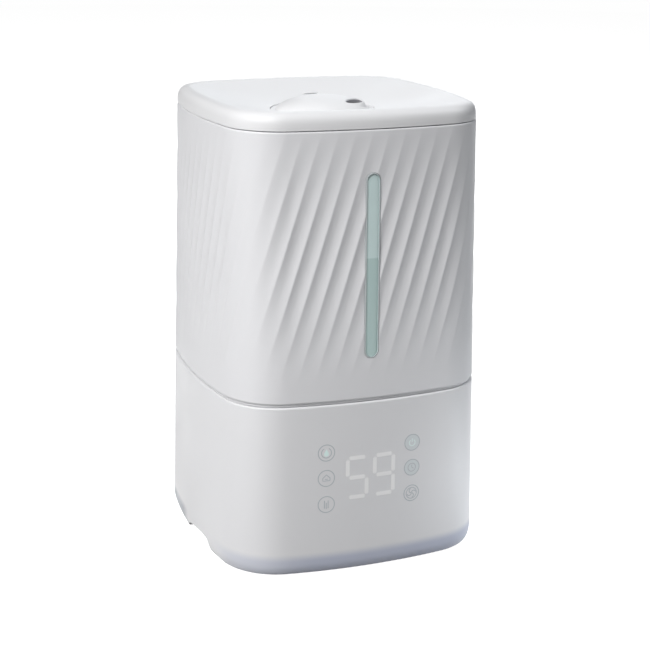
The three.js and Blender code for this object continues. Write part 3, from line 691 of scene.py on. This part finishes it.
def stroke(points, width, ends=0.5):
    """A soft-edged line through (x, z) points, as one strip; its ends taper over ends times its width."""
    points = np.array(points)
    fine = [points[0]]
    for a, b in zip(points, points[1:]):
        count = max(1, int(np.linalg.norm(b - a) / (1.5 * MM)))
        fine += [a + (b - a) * (i + 1) / count for i in range(count)]
    fine = np.array(fine)
    closed = np.linalg.norm(fine[0] - fine[-1]) < 1e-9
    if closed:
        fine = fine[:-1]
        direction = np.roll(fine, -1, axis=0) - np.roll(fine, 1, axis=0)
    else:
        direction = np.gradient(fine, axis=0)
    direction /= np.linalg.norm(direction, axis=1)[:, None]
    narrow = np.ones(len(fine))
    if not closed:
        reach = max(width * ends, FADE)
        fine = np.vstack([fine[0] - direction[0] * reach, fine, fine[-1] + direction[-1] * reach])
        direction = np.vstack([direction[0], direction, direction[-1]])
        narrow = np.concatenate([[0.4], narrow, [0.4]])
    side = np.column_stack([-direction[:, 1], direction[:, 0]])
    core = max(width / 2 - FADE, 0.04 * MM)
    across = ((width / 2 + FADE, 0), (core, 1), (-core, 1), (-width / 2 - FADE, 0))
    flat, strength = [], []
    for offset, value in across:
        flat += [tuple(p) for p in fine + side * (offset * narrow)[:, None]]
        strength += [value * float(n == 1) for n in narrow]
    count = len(fine)
    cells = [[row * count + i, row * count + (i + 1) % count,
              (row + 1) * count + (i + 1) % count, (row + 1) * count + i]
             for row in range(len(across) - 1) for i in range(count if closed else count - 1)]
    return flat, cells, strength


def arc(x, z, radius, start, end, steps=24):
    return [(x + radius * math.cos(a), z + radius * math.sin(a))
            for a in np.radians(np.linspace(start, end, steps + 1))]


def blob(points):
    """A soft-edged filled shape: a band around its rim and a fan of triangles about its middle."""
    points = np.array(points)
    centre = points.mean(axis=0)
    away = points - centre
    away /= np.linalg.norm(away, axis=1)[:, None]
    count = len(points)
    flat = [tuple(p) for p in np.vstack([points + away * FADE, points - away * FADE, centre])]
    cells = [[i, (i + 1) % count, count + (i + 1) % count, count + i] for i in range(count)]
    cells += [[count + i, count + (i + 1) % count, 2 * count] for i in range(count)]
    return flat, cells, [0.0] * count + [1.0] * (count + 1)


def drop(x, z, size):
    """A water drop, point up."""
    return arc(x, z, size, 150, 390, 20) + [(x, z + 2.1 * size)]


SEGMENTS = {
    "a": ((0, 2), (1, 2)), "b": ((1, 2), (1, 1)), "c": ((1, 1), (1, 0)), "d": ((0, 0), (1, 0)),
    "e": ((0, 0), (0, 1)), "f": ((0, 1), (0, 2)), "g": ((0, 1), (1, 1)),
}
SHOWN = ("afgcd", "abfgcd")  # the two digits, a five and a nine
SEGMENT_WIDTH = 2.9 * MM
SEGMENT_GAP = 0.55 * MM
DIGIT_HALF = 7.1 * MM  # centre line of the side segments, from the middle of the digit
DIGIT_RISE = 14.5 * MM  # from one level segment to the next


def make_digits():
    shapes = []
    for node, shown in zip(("digit_left", "digit_right"), SHOWN):
        x, _, z = middle_of(node)
        for letter in shown:
            start, end = (np.array([x + (2 * column - 1) * DIGIT_HALF, z + (row - 1) * DIGIT_RISE])
                          for column, row in SEGMENTS[letter])
            back = (end - start) / np.linalg.norm(end - start) * (SEGMENT_WIDTH / 2 + SEGMENT_GAP)
            shapes.append(stroke([start + back, end - back], SEGMENT_WIDTH))
    # the lit digits: glow painted as a colour lighter than the wall
    print_and_painted_glow("display_digits", shapes, DIGIT_GLOW)


TOUCH_SPOTS = [(side, row) for side in ("left", "right") for row in ("top", "middle", "bottom")]
ICON_RADIUS, ICON_LINE, ICON_THIN = mm(5.9, 0.4, 0.34)
BLADE_RADIUS = 1.75
# each icon's lines: arcs as (x, z, radius, start, end, steps), and strokes as points, in mm and degrees
ICON_ARCS = {
    ("left", "top"): [(0, 0, 3.6, 120, 420, 30)],
    ("right", "middle"): [(0, 0, 3, 0, 360, 30)],
    ("right", "bottom"): [(a, b, BLADE_RADIUS, turn + 180, turn + 20, 12) for a, b, turn in (
        (BLADE_RADIUS, 0, 0), (0, BLADE_RADIUS, 90), (-BLADE_RADIUS, 0, 180), (0, -BLADE_RADIUS, 270))],
}
ICON_STROKES = {
    ("left", "middle"): [[(-2.6, -1.8), (2.6, -1.8), (2.6, 0.2), (0, 2.6), (-2.6, 0.2), (-2.6, -1.8)],
                         [(-1, -0.6), (1, -0.6)]],
    ("left", "bottom"): [[(-1.3, -2.8), (-1.3, 2.8)], [(1.3, -2.8), (1.3, 2.8)], [(0, -3.2), (0, 1.2)]],
    ("right", "middle"): [[(0, 1.9), (0, 0), (1.4, -0.9)]],
}


def make_icons():
    rims, marks, discs, lit = [], [], [], []
    for spot in TOUCH_SPOTS:
        x, _, z = middle_of("touch_pad_{}_{}".format(*spot))

        def place(a, b):
            return x + a * MM, z + b * MM

        rims.append(stroke(arc(x, z, ICON_RADIUS, 0, 360, 48), ICON_LINE))
        for a, b, radius, start, end, steps in ICON_ARCS.get(spot, ()):
            marks.append(stroke(arc(*place(a, b), radius * MM, start, end, steps), ICON_THIN))
        for points in ICON_STROKES.get(spot, ()):
            marks.append(stroke([place(*p) for p in points], ICON_THIN))
        if spot in (("right", "top"), ("right", "middle")):
            discs.append(blob(arc(x, z, ICON_RADIUS - ICON_LINE / 2, 0, 360, 48)[:-1]))
        # the lit icons' marks: glow painted as a colour lighter than the wall
        if spot == ("left", "top"):
            lit.append(blob(drop(*place(0, -0.9), 1.75 * MM)))
        elif spot == ("right", "top"):
            lit.append(stroke(arc(*place(0, -0.2), 2.3 * MM, 130, 410, 24), ICON_THIN * 1.3))
            lit.append(stroke([place(0, 0.4), place(0, 2.7)], ICON_THIN * 1.3))
        elif spot == ("right", "bottom"):
            marks.append(stroke(arc(x, z, 4.1 * MM, 0, 360, 36), ICON_THIN * 0.8))
    print_and_painted_glow("icon_discs", discs, TINTED, 0.02 * MM)
    print_and_painted_glow("icon_rings", rims, INK)
    print_and_painted_glow("icon_marks", marks, INK, 0.06 * MM)
    print_and_painted_glow("icon_lit_marks", lit, LIT, 0.07 * MM)


# --- tank ---


def flute_relief(across, z):
    """How far the wall is hollowed at arc length across from the middle of a side, at height z."""
    phase = ((across - FLUTE_LEAN * (z - FLUTE_MIDDLE)) / FLUTE_PITCH + FLUTE_PHASE) % 1
    ridge = np.minimum(phase, 1 - phase)
    ridge = np.sqrt(ridge ** 2 + FLUTE_ROUNDING ** 2) - FLUTE_ROUNDING
    hollow = 4 * ridge * (1 - ridge)
    rise = np.clip(np.abs(z - FLUTE_MIDDLE) / FLUTE_HALF_HEIGHT, 0, 1)
    up = np.cos(rise * math.pi / 2) ** FLUTE_POWER
    side = np.clip((FLUTE_REACH - np.abs(across)) / FLUTE_FADE, 0, 1)
    side = side * side * (3 - 2 * side)
    return FLUTE_DEPTH * hollow * up * side


QUARTER = 162.3 * MM  # the outline's length along one side, from corner to corner
FLUTE_PITCH = QUARTER / (TANK_COLUMNS / FLUTE_COLUMNS)
FLUTE_PHASE = 2 / FLUTE_COLUMNS
FLUTE_ROUNDING = 0.022  # of the ridges between flutes, as a share of the pitch
FLUTE_REACH, FLUTE_FADE = mm(84, 32)  # from the middle of a side to the flutes' ends, and their fade there


def tank_ring(z, inset):
    """One level of the tank's wall; its points shift along the outline with the flutes' lean."""
    base = ring(z, inset, side_steps=80, corner_steps=60)[:, :2]
    closed = np.vstack([base, base[:1]])
    lengths = np.concatenate([[0], np.cumsum(np.linalg.norm(np.diff(closed, axis=0), axis=1))])

    def at(where):
        return np.column_stack([np.interp(where % lengths[-1], lengths, closed[:, i]) for i in (0, 1)])

    count = 4 * TANK_COLUMNS
    across = np.arange(count) * (QUARTER / TANK_COLUMNS) + FLUTE_LEAN * (z - FLUTE_MIDDLE)
    across = np.mod(across, 4 * QUARTER)
    where = across * (lengths[-1] / (4 * QUARTER))
    depth = flute_relief((across + QUARTER / 2) % QUARTER - QUARTER / 2, z)
    step = 0.5 * MM
    tangent = at(where + step) - at(where - step)
    tangent /= np.linalg.norm(tangent, axis=1)[:, None]
    inward = np.column_stack([-tangent[:, 1], tangent[:, 0]])
    return np.column_stack([at(where) + inward * depth[:, None], np.full(count, z)])


def capsule(half, low, high, steps=14):
    """(half width, z) at levels up an upright slot with round ends."""
    turn = np.sin(np.linspace(0, math.pi / 2, steps + 1))
    straight = np.linspace(low + half, high - half, 24)
    heights = np.concatenate([low + half - half * turn[::-1], straight[1:-1], high - half + half * turn])
    ends = np.clip(heights, low + half, high - half)
    return [(math.sqrt(max(half * half - (z - end) ** 2, 0)), z) for z, end in zip(heights, ends)]


def window_solid(name, *sizes, columns=10):
    """The level window's strip, which follows the front wall. sizes are how much wider it is than the pane's
    opening, the insets of its front and its back, and how far its edge is rounded off, in mm."""
    grow, front, back, rounding = mm(*sizes)
    low, high = WINDOW_LOW.z + WINDOW_FLANGE - grow, WINDOW_HIGH.z - WINDOW_FLANGE + grow
    shares = np.linspace(-1, 1, columns + 1)
    levels = []
    for half, z in capsule(5.2 * MM + grow, low, high):
        reach = max(half, 0.02 * MM)
        points = [(t * reach, front_y(t * reach, z, front + rounding * abs(t) ** 6), z) for t in shares]
        points += [(t * reach, front_y(t * reach, z, back), z) for t in shares[::-1]]
        levels.append(np.array(points))
    return skin(name, levels, closed=False)


def make_tank():
    low, high = SHELL_LOW.z - 1.05 * MM, SHELL_HIGH.z
    heights = np.concatenate([
        low + np.array([0, 0.15, 0.5, 1.0, 1.4, 3]) * MM,
        np.linspace(low + 6 * MM, high - 6 * MM, 56),
        high - np.array([3, 1.3, 0.8, 0.4, 0.12, 0]) * MM,
    ])

    def edge(z):
        share = min(z - low, high - z) / MM
        return 0.5 * MM * (1 - min(share, 1)) ** 2

    tank = skin("tank_wall", [tank_ring(z, edge(z)) for z in heights], closed=False, angle=60)
    inside_heights = [low - 2 * MM, *np.linspace(low + 1 * MM, high - 1 * MM, 8), high + 2 * MM]
    boolean(tank, skin("tool", [ring(z, WALL) for z in inside_heights], closed=False), angle=60)
    half, gap = mm(5.5, 0.3)
    slot_low, slot_high = WINDOW_LOW.z + WINDOW_FLANGE - gap, WINDOW_HIGH.z - WINDOW_FLANGE + gap
    right = capsule(half, slot_low, slot_high)
    slot = right + [(-x, z) for x, z in reversed(right)]
    slot = [p for i, p in enumerate(slot) if math.dist(p, slot[i - 1]) > 1e-6]
    boolean(tank, prism(slot, *mm(-110, -80), "y"), angle=60)
    settle(tank, TANK, "tank_shell")


def make_window():
    settle(window_solid("level_pane", -0.75, 0.7, 2.7, 0.3), AQUA, "level_window")
    bezel = window_solid("level_bezel", 0.1, -0.05, 2.4, 0.35)
    boolean(bezel, window_solid("tool", -0.72, -5, 6, 0))
    settle(bezel, FRAME_GREY, "level_window")
    settle(window_solid("level_flange", 3.6, 2.95, 4.3, 0), AQUA, "level_window")


def make_tank_floor():
    low, top = span("tank_floor")
    inset, inner, hole, plate_low, plate_high = mm(2.9, 6.4, 21, 124.2, 127.2)
    # the lip is what shows in the groove above the base
    lip, lip_low, lip_high = 1.6 * MM, SEAM_Z + 0.5 * MM, SHELL_LOW.z - 0.9 * MM
    rows = rings(*near(low, inset, (0, 1), (0.3, 0.3), (1, 0), (1.4, 0)),
                 (lip_low, inset), (lip_low + 0.1 * MM, lip), (lip_high, lip), (lip_high + 0.1 * MM, inset),
                 *near(top, inset, (-1, 0), (-0.6, 0), (0, 0.6)), *near(top, inner, (0, -0.6), (-0.6, 0)),
                 *near(plate_high, inner, (0.8, 0), (0, 0.8), (0, 2)))
    rows += circles(*near(plate_high, hole, (0, 1), (0, 0)), *near(plate_low, hole, (0, 0), (0, 1)))
    rows += rings(*near(plate_low, inner, (0, 2), (0, 0)), *near(low, inner, (0.3, 0), (0, 0)))
    floor = skin("tank_bottom", rows)
    seat = circle(12 * MM, middle_of("valve_seat")[:2])
    boolean(floor, prism(seat, plate_low - 1 * MM, plate_high + 1 * MM))
    settle(floor, TANK, "tank_floor")


def make_chimney():
    low, high, flange, centre = round_box("mist_chimney")
    inner, outer, shelf_low, shelf_high = mm(18.6, 20.6, 127.5, 129.3)
    profile = [(outer, low), (outer, shelf_low), (flange, shelf_low), (flange, shelf_high),
               (outer, shelf_high), (outer, high), (inner, high), (inner, low)]
    turned("mist_tube", "mist_chimney", TANK, profile, mm(0.6, 0.2, 0.5, 0.5, 1, 0.9, 0.9, 0.6), centre, 128)


def make_valve():
    centre = middle_of("valve_seat")[:2]
    washer("valve_washer", "valve_seal", SILICONE, 2.3 * MM, 0.4 * MM, centre)
    low, high, head, _ = round_box("valve_plunger")
    stem, collar, cap = mm(2, 4.6, 2)
    collar_low, collar_high = low + 0.2 * MM, low + 1.6 * MM
    profile = [(0, low), (stem, low), (stem, collar_low), (collar, collar_low), (collar, collar_high),
               (stem, collar_high), (stem, high - cap), (head, high - cap), (head, high), (0, high)]
    turned("valve_stem", "valve_plunger", GREY, profile, mm(0, 0.1, 0, 0.3, 0.3, 0, 0, 0.4, 0.7, 0), centre)


# --- lid and nozzle ---

DISH_RADIUS = 38.3 * MM
DISH_Z = 314.6 * MM
RIM_INSET = 9 * MM
DISH_POWERS = 1.8, 1.3  # of the dish's curve, at its middle and at its rim


def lid_ring(z, inset=0.0, **kind):
    return ring(z, inset, side_steps=48, corner_steps=32, **kind)


def dish_ring(t, drop=0.0):
    """The dish from its middle circle, at t 0, to the lid's rim, at t 1."""
    rim = LID_HIGH.z
    half = DISH_RADIUS + (half_width(rim) - RIM_INSET - DISH_RADIUS) * t
    flat, steep = DISH_POWERS
    z = DISH_Z + (rim - DISH_Z) * (1 - (1 - t ** flat) ** steep) - drop
    corner = max(CORNER_RADIUS - (HALF_AT_SEAM - half), 10 * MM)
    return lid_ring(z, half=half, corner=corner, roundness=1 - t * t)


def make_lid():
    low, rim = SHELL_HIGH.z + 0.5 * MM, LID_HIGH.z
    side, start = mm(0.2, 316.4)
    power = 2 / 2.5
    wide, tall = RIM_INSET - side, rim - start
    edge = [(start + tall * math.sin(a) ** power, RIM_INSET - wide * math.cos(a) ** power)
            for a in np.linspace(0, math.pi / 2, 20)]
    rows = rings(*near(low, side, (0, 0.7), (0.12, 0.3), (0.4, 0), (0.7, 0)), (start - 0.4 * MM, side), *edge,
                 make=lid_ring)
    rows += [dish_ring(t) for t in (0.997, 0.988, 0.97, 0.94, 0.9, 0.84, 0.76, 0.66, 0.56, 0.46, 0.36, 0.27,
                                    0.19, 0.12, 0.06, 0.02, 0.0)]
    socket, bore, under, bottom = mm(37.8, 31.7, 2.4, 311.6)
    floor = NOZZLE_EDGE - 0.3 * MM
    rows += circles(*near(DISH_Z, socket, (-0.25, 0.05)), *near(floor, socket, (0.2, 0), (0, -0.2)),
                    *near(floor, bore, (0, 0.4), (-0.4, 0)), (bottom, bore), (bottom, DISH_RADIUS),
                    make=lid_ring)
    rows += [dish_ring(t, under) for t in (0.04, 0.1, 0.2, 0.32, 0.45, 0.58, 0.7, 0.8, 0.87)]
    rows += rings(mm(321, 4.2), mm(319, 3.2), (low + 0.4 * MM, 3.2 * MM), (low, 2.8 * MM), make=lid_ring)
    settle(skin("lid_top", rows), LID, "lid_cover")


def make_liner():
    low, top = span("lid_liner")
    inset, inner, wall_r, bore, seat_top = mm(5.6, 7.6, 33.7, 31.7, 309)
    plate = low + 2 * MM
    rows = rings(*near(low, inset, (0, 1), (0.3, 0.3), (1, 0)), (top, inset), (top, inner),
                 *near(plate, inner, (0.8, 0), (0, 0.8), (0, 2)), make=lid_ring)
    rows += circles(*near(plate, wall_r, (0, 1), (0, 0)), (seat_top, wall_r), (seat_top, bore),
                    *near(low, bore, (0.5, 0), (0, 0.5), (0, 1.5)), make=lid_ring)
    rows += rings((low, inset + 2 * MM), make=lid_ring)
    settle(skin("lid_plug", rows), LID, "lid_liner")

    z0, z1 = span("lid_gasket")
    lip, root, back = mm(3, 3.8, 5.3)
    profile = [(root, z0), (lip, (z0 + z1) / 2), (root, z1), (back, z1), (back, z0)]
    settle(wall("lid_seal", profile, 0.4 * MM), SILICONE, "lid_gasket")


NOZZLE_SPHERE = 64.6 * MM
NOZZLE_MIDDLE = NOZZLE_HIGH.z - NOZZLE_SPHERE
NOZZLE_EDGE = NOZZLE_MIDDLE + math.sqrt(NOZZLE_SPHERE ** 2 - NOZZLE_HIGH.x ** 2)
# angle and distance from the nozzle's middle, half length, half width, the long axis round from +X,
# how proud the rim stands, and on which side of the long axis it stands highest
OUTLETS = {
    "front": (-44, 24.2 * MM, 8.2 * MM, 3.3 * MM, 24, 2.3 * MM, 0),
    "back": (96, 19.0 * MM, 5.2 * MM, 4.9 * MM, -21, 2.0 * MM, 90),
}
DOME_RADIUS = 35.5 * MM
DOME_FOOT = NOZZLE_EDGE - 2.07 * MM  # where the curve of the dome would end, below the flange round it
DOME_RISE = 12.7 * MM
DOME_POWERS = 2.4, 0.6
FLANGE_TOP = NOZZLE_EDGE + 0.75 * MM


def dome_z(r):
    """The dome's height at radius r: flatter than a sphere on top, and steeper at its edge."""
    share = min(r / DOME_RADIUS, 1)
    flat, steep = DOME_POWERS
    return DOME_FOOT + DOME_RISE * (1 - share ** flat) ** steep


# (distance out from the outlet's bore, share of the rise, depth below the dome), in mm
OUTLET_RIM = ((3.4, 0, 0.5), (2.6, 0.06, 0.08), (1.9, 0.35, -0.02), (1.3, 0.7, -0.06), (0.8, 0.94, -0.1),
              (0.3, 1, -0.1), (-0.3, 0.97, 0), (-0.3, 0, 3), (3.4, 0, 3))
# a grey sleeve just inside each outlet's bore: painted shade, standing in for the dark inside of the nozzle
OUTLET_SHADE_SLEEVE = ((-0.04, 1, 0.7), (-0.5, 1, 0.7), (-0.5, 1, 9), (-0.04, 1, 9))


def outlet_ring(outlet, out, share, depth, steps=72):
    """Points round an outlet, at a distance out from its bore and a depth below the dome, in mm."""
    angle, reach, length, width, turn, rise, hood = outlet
    middle, long_way, back_way = (np.array([math.cos(math.radians(a)), math.sin(math.radians(a))])
                                  for a in (angle, turn, turn + 90))
    points = []
    for a in np.linspace(0, 2 * math.pi, steps, endpoint=False):
        x, y = (middle * reach + long_way * (length + out * MM) * math.cos(a)
                + back_way * (width + out * MM) * math.sin(a))
        facing = (0.5 + 0.5 * math.cos(a - math.radians(hood))) ** 1.2
        points.append((x, y, dome_z(math.hypot(x, y)) + share * rise * facing - depth * MM))
    return np.array(points)


def outlet_body(name, outlet, rows):
    return face_outward(skin(name, [outlet_ring(outlet, *row) for row in rows]))


def make_nozzle():
    low, radius = NOZZLE_LOW.z, NOZZLE_HIGH.x
    wall_thick, collar_out, collar_in, ease = mm(2.2, 29.5, 27.5, 0.25)
    dome = [(r, dome_z(r)) for r in DOME_RADIUS * np.cos(np.linspace(0.03, math.pi / 2, 44))]
    dome = [(r, z) for r, z in dome if z > FLANGE_TOP]
    inner_ball = NOZZLE_SPHERE - wall_thick
    inside = [(r, NOZZLE_MIDDLE + math.sqrt(inner_ball ** 2 - r * r)) for r in np.linspace(0, collar_in, 14)]
    profile = [(collar_out, low), (collar_out, NOZZLE_EDGE), (radius - 0.3 * MM, NOZZLE_EDGE),
               (radius, FLANGE_TOP - ease), (radius - ease, FLANGE_TOP), (dome[0][0] + 0.3 * MM, FLANGE_TOP),
               *dome[:-1], (0, dome[-1][1]), *inside, (collar_in, low)]
    nozzle = revolve("nozzle_dome", profile, (0, 0), 0, 144)
    for name, outlet in OUTLETS.items():
        boolean(nozzle, outlet_body("tool", outlet, OUTLET_RIM), "UNION")
        bore = [(x, y) for x, y, z in outlet_ring(outlet, 0, 0, 0)]
        boolean(nozzle, prism(bore, *mm(308, 330)))
        # the grey sleeve in the bore is painted shade
        shade_sleeve = outlet_body(f"outlet_shade_sleeve_{name}", outlet, OUTLET_SHADE_SLEEVE)
        settle(shade_sleeve, GREY, "nozzle_cap")
    settle(nozzle, LID, "nozzle_cap")
    washer("nozzle_ring_seal", "nozzle_o_ring", SILICONE, 29.8 * MM, 0.7 * MM, segments=96)


# --- pieces kept from the frame ---

KEPT = {
    GREY: ("bottom_plate", "transducer_clamp"),
    SILICONE: ("transducer_seal", *("touch_pad_{}_{}".format(*spot) for spot in TOUCH_SPOTS)),
    CERAMIC: ("transducer_disc",),
    BOARD: ("driver_board", "power_board", "display_board"),
    ALUMINIUM: ("driver_heat_sink",),
    TAPE: ("power_transformer",),
    BLACK: ("display_shade", "humidity_sensor", "fan_frame", "fan_rotor", "level_sensor"),
    LED: ("digit_left", "digit_right"),
    COPPER: ("fan_motor",),
    INNER: ("valve_seat", "nozzle_baffle"),
    STEEL: ("valve_spring",),
}


def dress_kept():
    for look, names in KEPT.items():
        for name in names:
            node = frame["nodes"][name]
            paint(node, look)
            bevel(node, 0.15 * MM, angle=50)


# --- camera, floor and light ---

TARGET = Vector((2.48, -3.15, 152.94)) * MM
AZIMUTH, ELEVATION, ROLL = (math.radians(a) for a in (-21.17, 16.15, 0.71))
DISTANCE = 1146.35 * MM


def away_from(azimuth, elevation):
    """The direction out from the target; azimuth 0 is the front, and 90 degrees is +X."""
    return Vector((math.sin(azimuth) * math.cos(elevation), -math.cos(azimuth) * math.cos(elevation),
                   math.sin(elevation)))


def make_camera():
    data = bpy.data.cameras.new("camera")
    data.lens, data.sensor_width = 85.14, 36
    data.clip_start, data.clip_end = 0.05, 50
    camera = add_object("camera", data)
    back = away_from(AZIMUTH, ELEVATION)
    level = Vector((math.cos(AZIMUTH), math.sin(AZIMUTH), 0))
    right = level * math.cos(ROLL) + back.cross(level) * math.sin(ROLL)
    turn = Matrix((right, back.cross(right), back)).transposed().to_4x4()
    camera.matrix_world = Matrix.Translation(TARGET + back * DISTANCE) @ turn
    bpy.context.scene.camera = camera


FLOOR_RADIUS = 5
BACKDROP_CURVE = 2


def studio_surface(name, profile):
    """A round white surface through (radius, z) points, seen from inside. It lights nothing diffusely."""
    steps = 96
    levels = [round_level(r, z, steps) for r, z in profile]
    faces = []
    for below in range(0, (len(profile) - 1) * steps, steps):
        for i in range(steps):
            j = (i + 1) % steps
            faces.append((below + i, below + steps + i, below + steps + j, below + j))
    surface = weld(mesh_object(name, np.concatenate(levels), faces))
    surface.data.materials.append(STUDIO)
    surface.visible_diffuse = False
    return surface


def make_floor():
    studio_surface("studio_floor", [(r, 0) for r in np.linspace(0, FLOOR_RADIUS, 11)])
    curve = [(FLOOR_RADIUS + BACKDROP_CURVE * math.sin(a), BACKDROP_CURVE * (1 - math.cos(a)))
             for a in np.linspace(0, math.pi / 2, 13)]
    studio_surface("studio_backdrop", curve).visible_glossy = False


# name: (azimuth round from the front towards +X, elevation, distance, width, height, power)
LIGHTS = {
    "key": (-52, 40, 2.2, 1.2, 1.2, 37.2),
    "key_side": (-75, 40, 2.2, 1.2, 1.2, 11.8),
    "fill_low": (-60, -7, 0.75, 0.5, 0.12, 0.6),
    "fill_right": (75, 40, 2.2, 1.2, 1.2, 13.2),
    "top": (-20, 65, 2.2, 1.2, 1.2, 3.4),
    "rim_low": (150, 12, 2.2, 1.2, 1.2, 7.2),
    "rim_high": (150, 40, 2.2, 1.2, 1.2, 4.6),
    "bounce": (51.5, -27.8, 0.285, 0.16, 0.10, 0.16),
}
WORLD_LIGHT = 0.01
COOL = (0.93, 0.965, 1.0)  # the lights on the right


def make_lights():
    for name, (azimuth, elevation, distance, width, height, power) in LIGHTS.items():
        data = bpy.data.lights.new(name, "AREA")
        data.shape = "RECTANGLE"
        data.size, data.size_y = width, height
        data.energy = power
        data.color = COOL if azimuth > 0 else (1, 1, 1)
        light = add_object(name, data)
        light.visible_camera = False
        away = away_from(math.radians(azimuth), math.radians(elevation))
        light.location = TARGET + away * distance
        light.rotation_euler = away.to_track_quat("Z", "Y").to_euler()
    world = bpy.data.worlds.new("studio")
    world.use_nodes = True
    background = world.node_tree.nodes["Background"].inputs
    background["Color"].default_value = (1, 1, 1, 1)
    background["Strength"].default_value = WORLD_LIGHT
    bpy.context.scene.world = world
    bpy.context.scene.view_settings.view_transform = "Standard"


for make in (make_camera, make_floor, make_lights, make_skirt, make_housing, make_feet, make_screws,
             make_deck, make_basin, make_duct, make_float, make_inlet, make_digits, make_icons, make_tank,
             make_window, make_tank_floor, make_chimney, make_valve, make_lid, make_liner, make_nozzle,
             dress_kept):
    make()
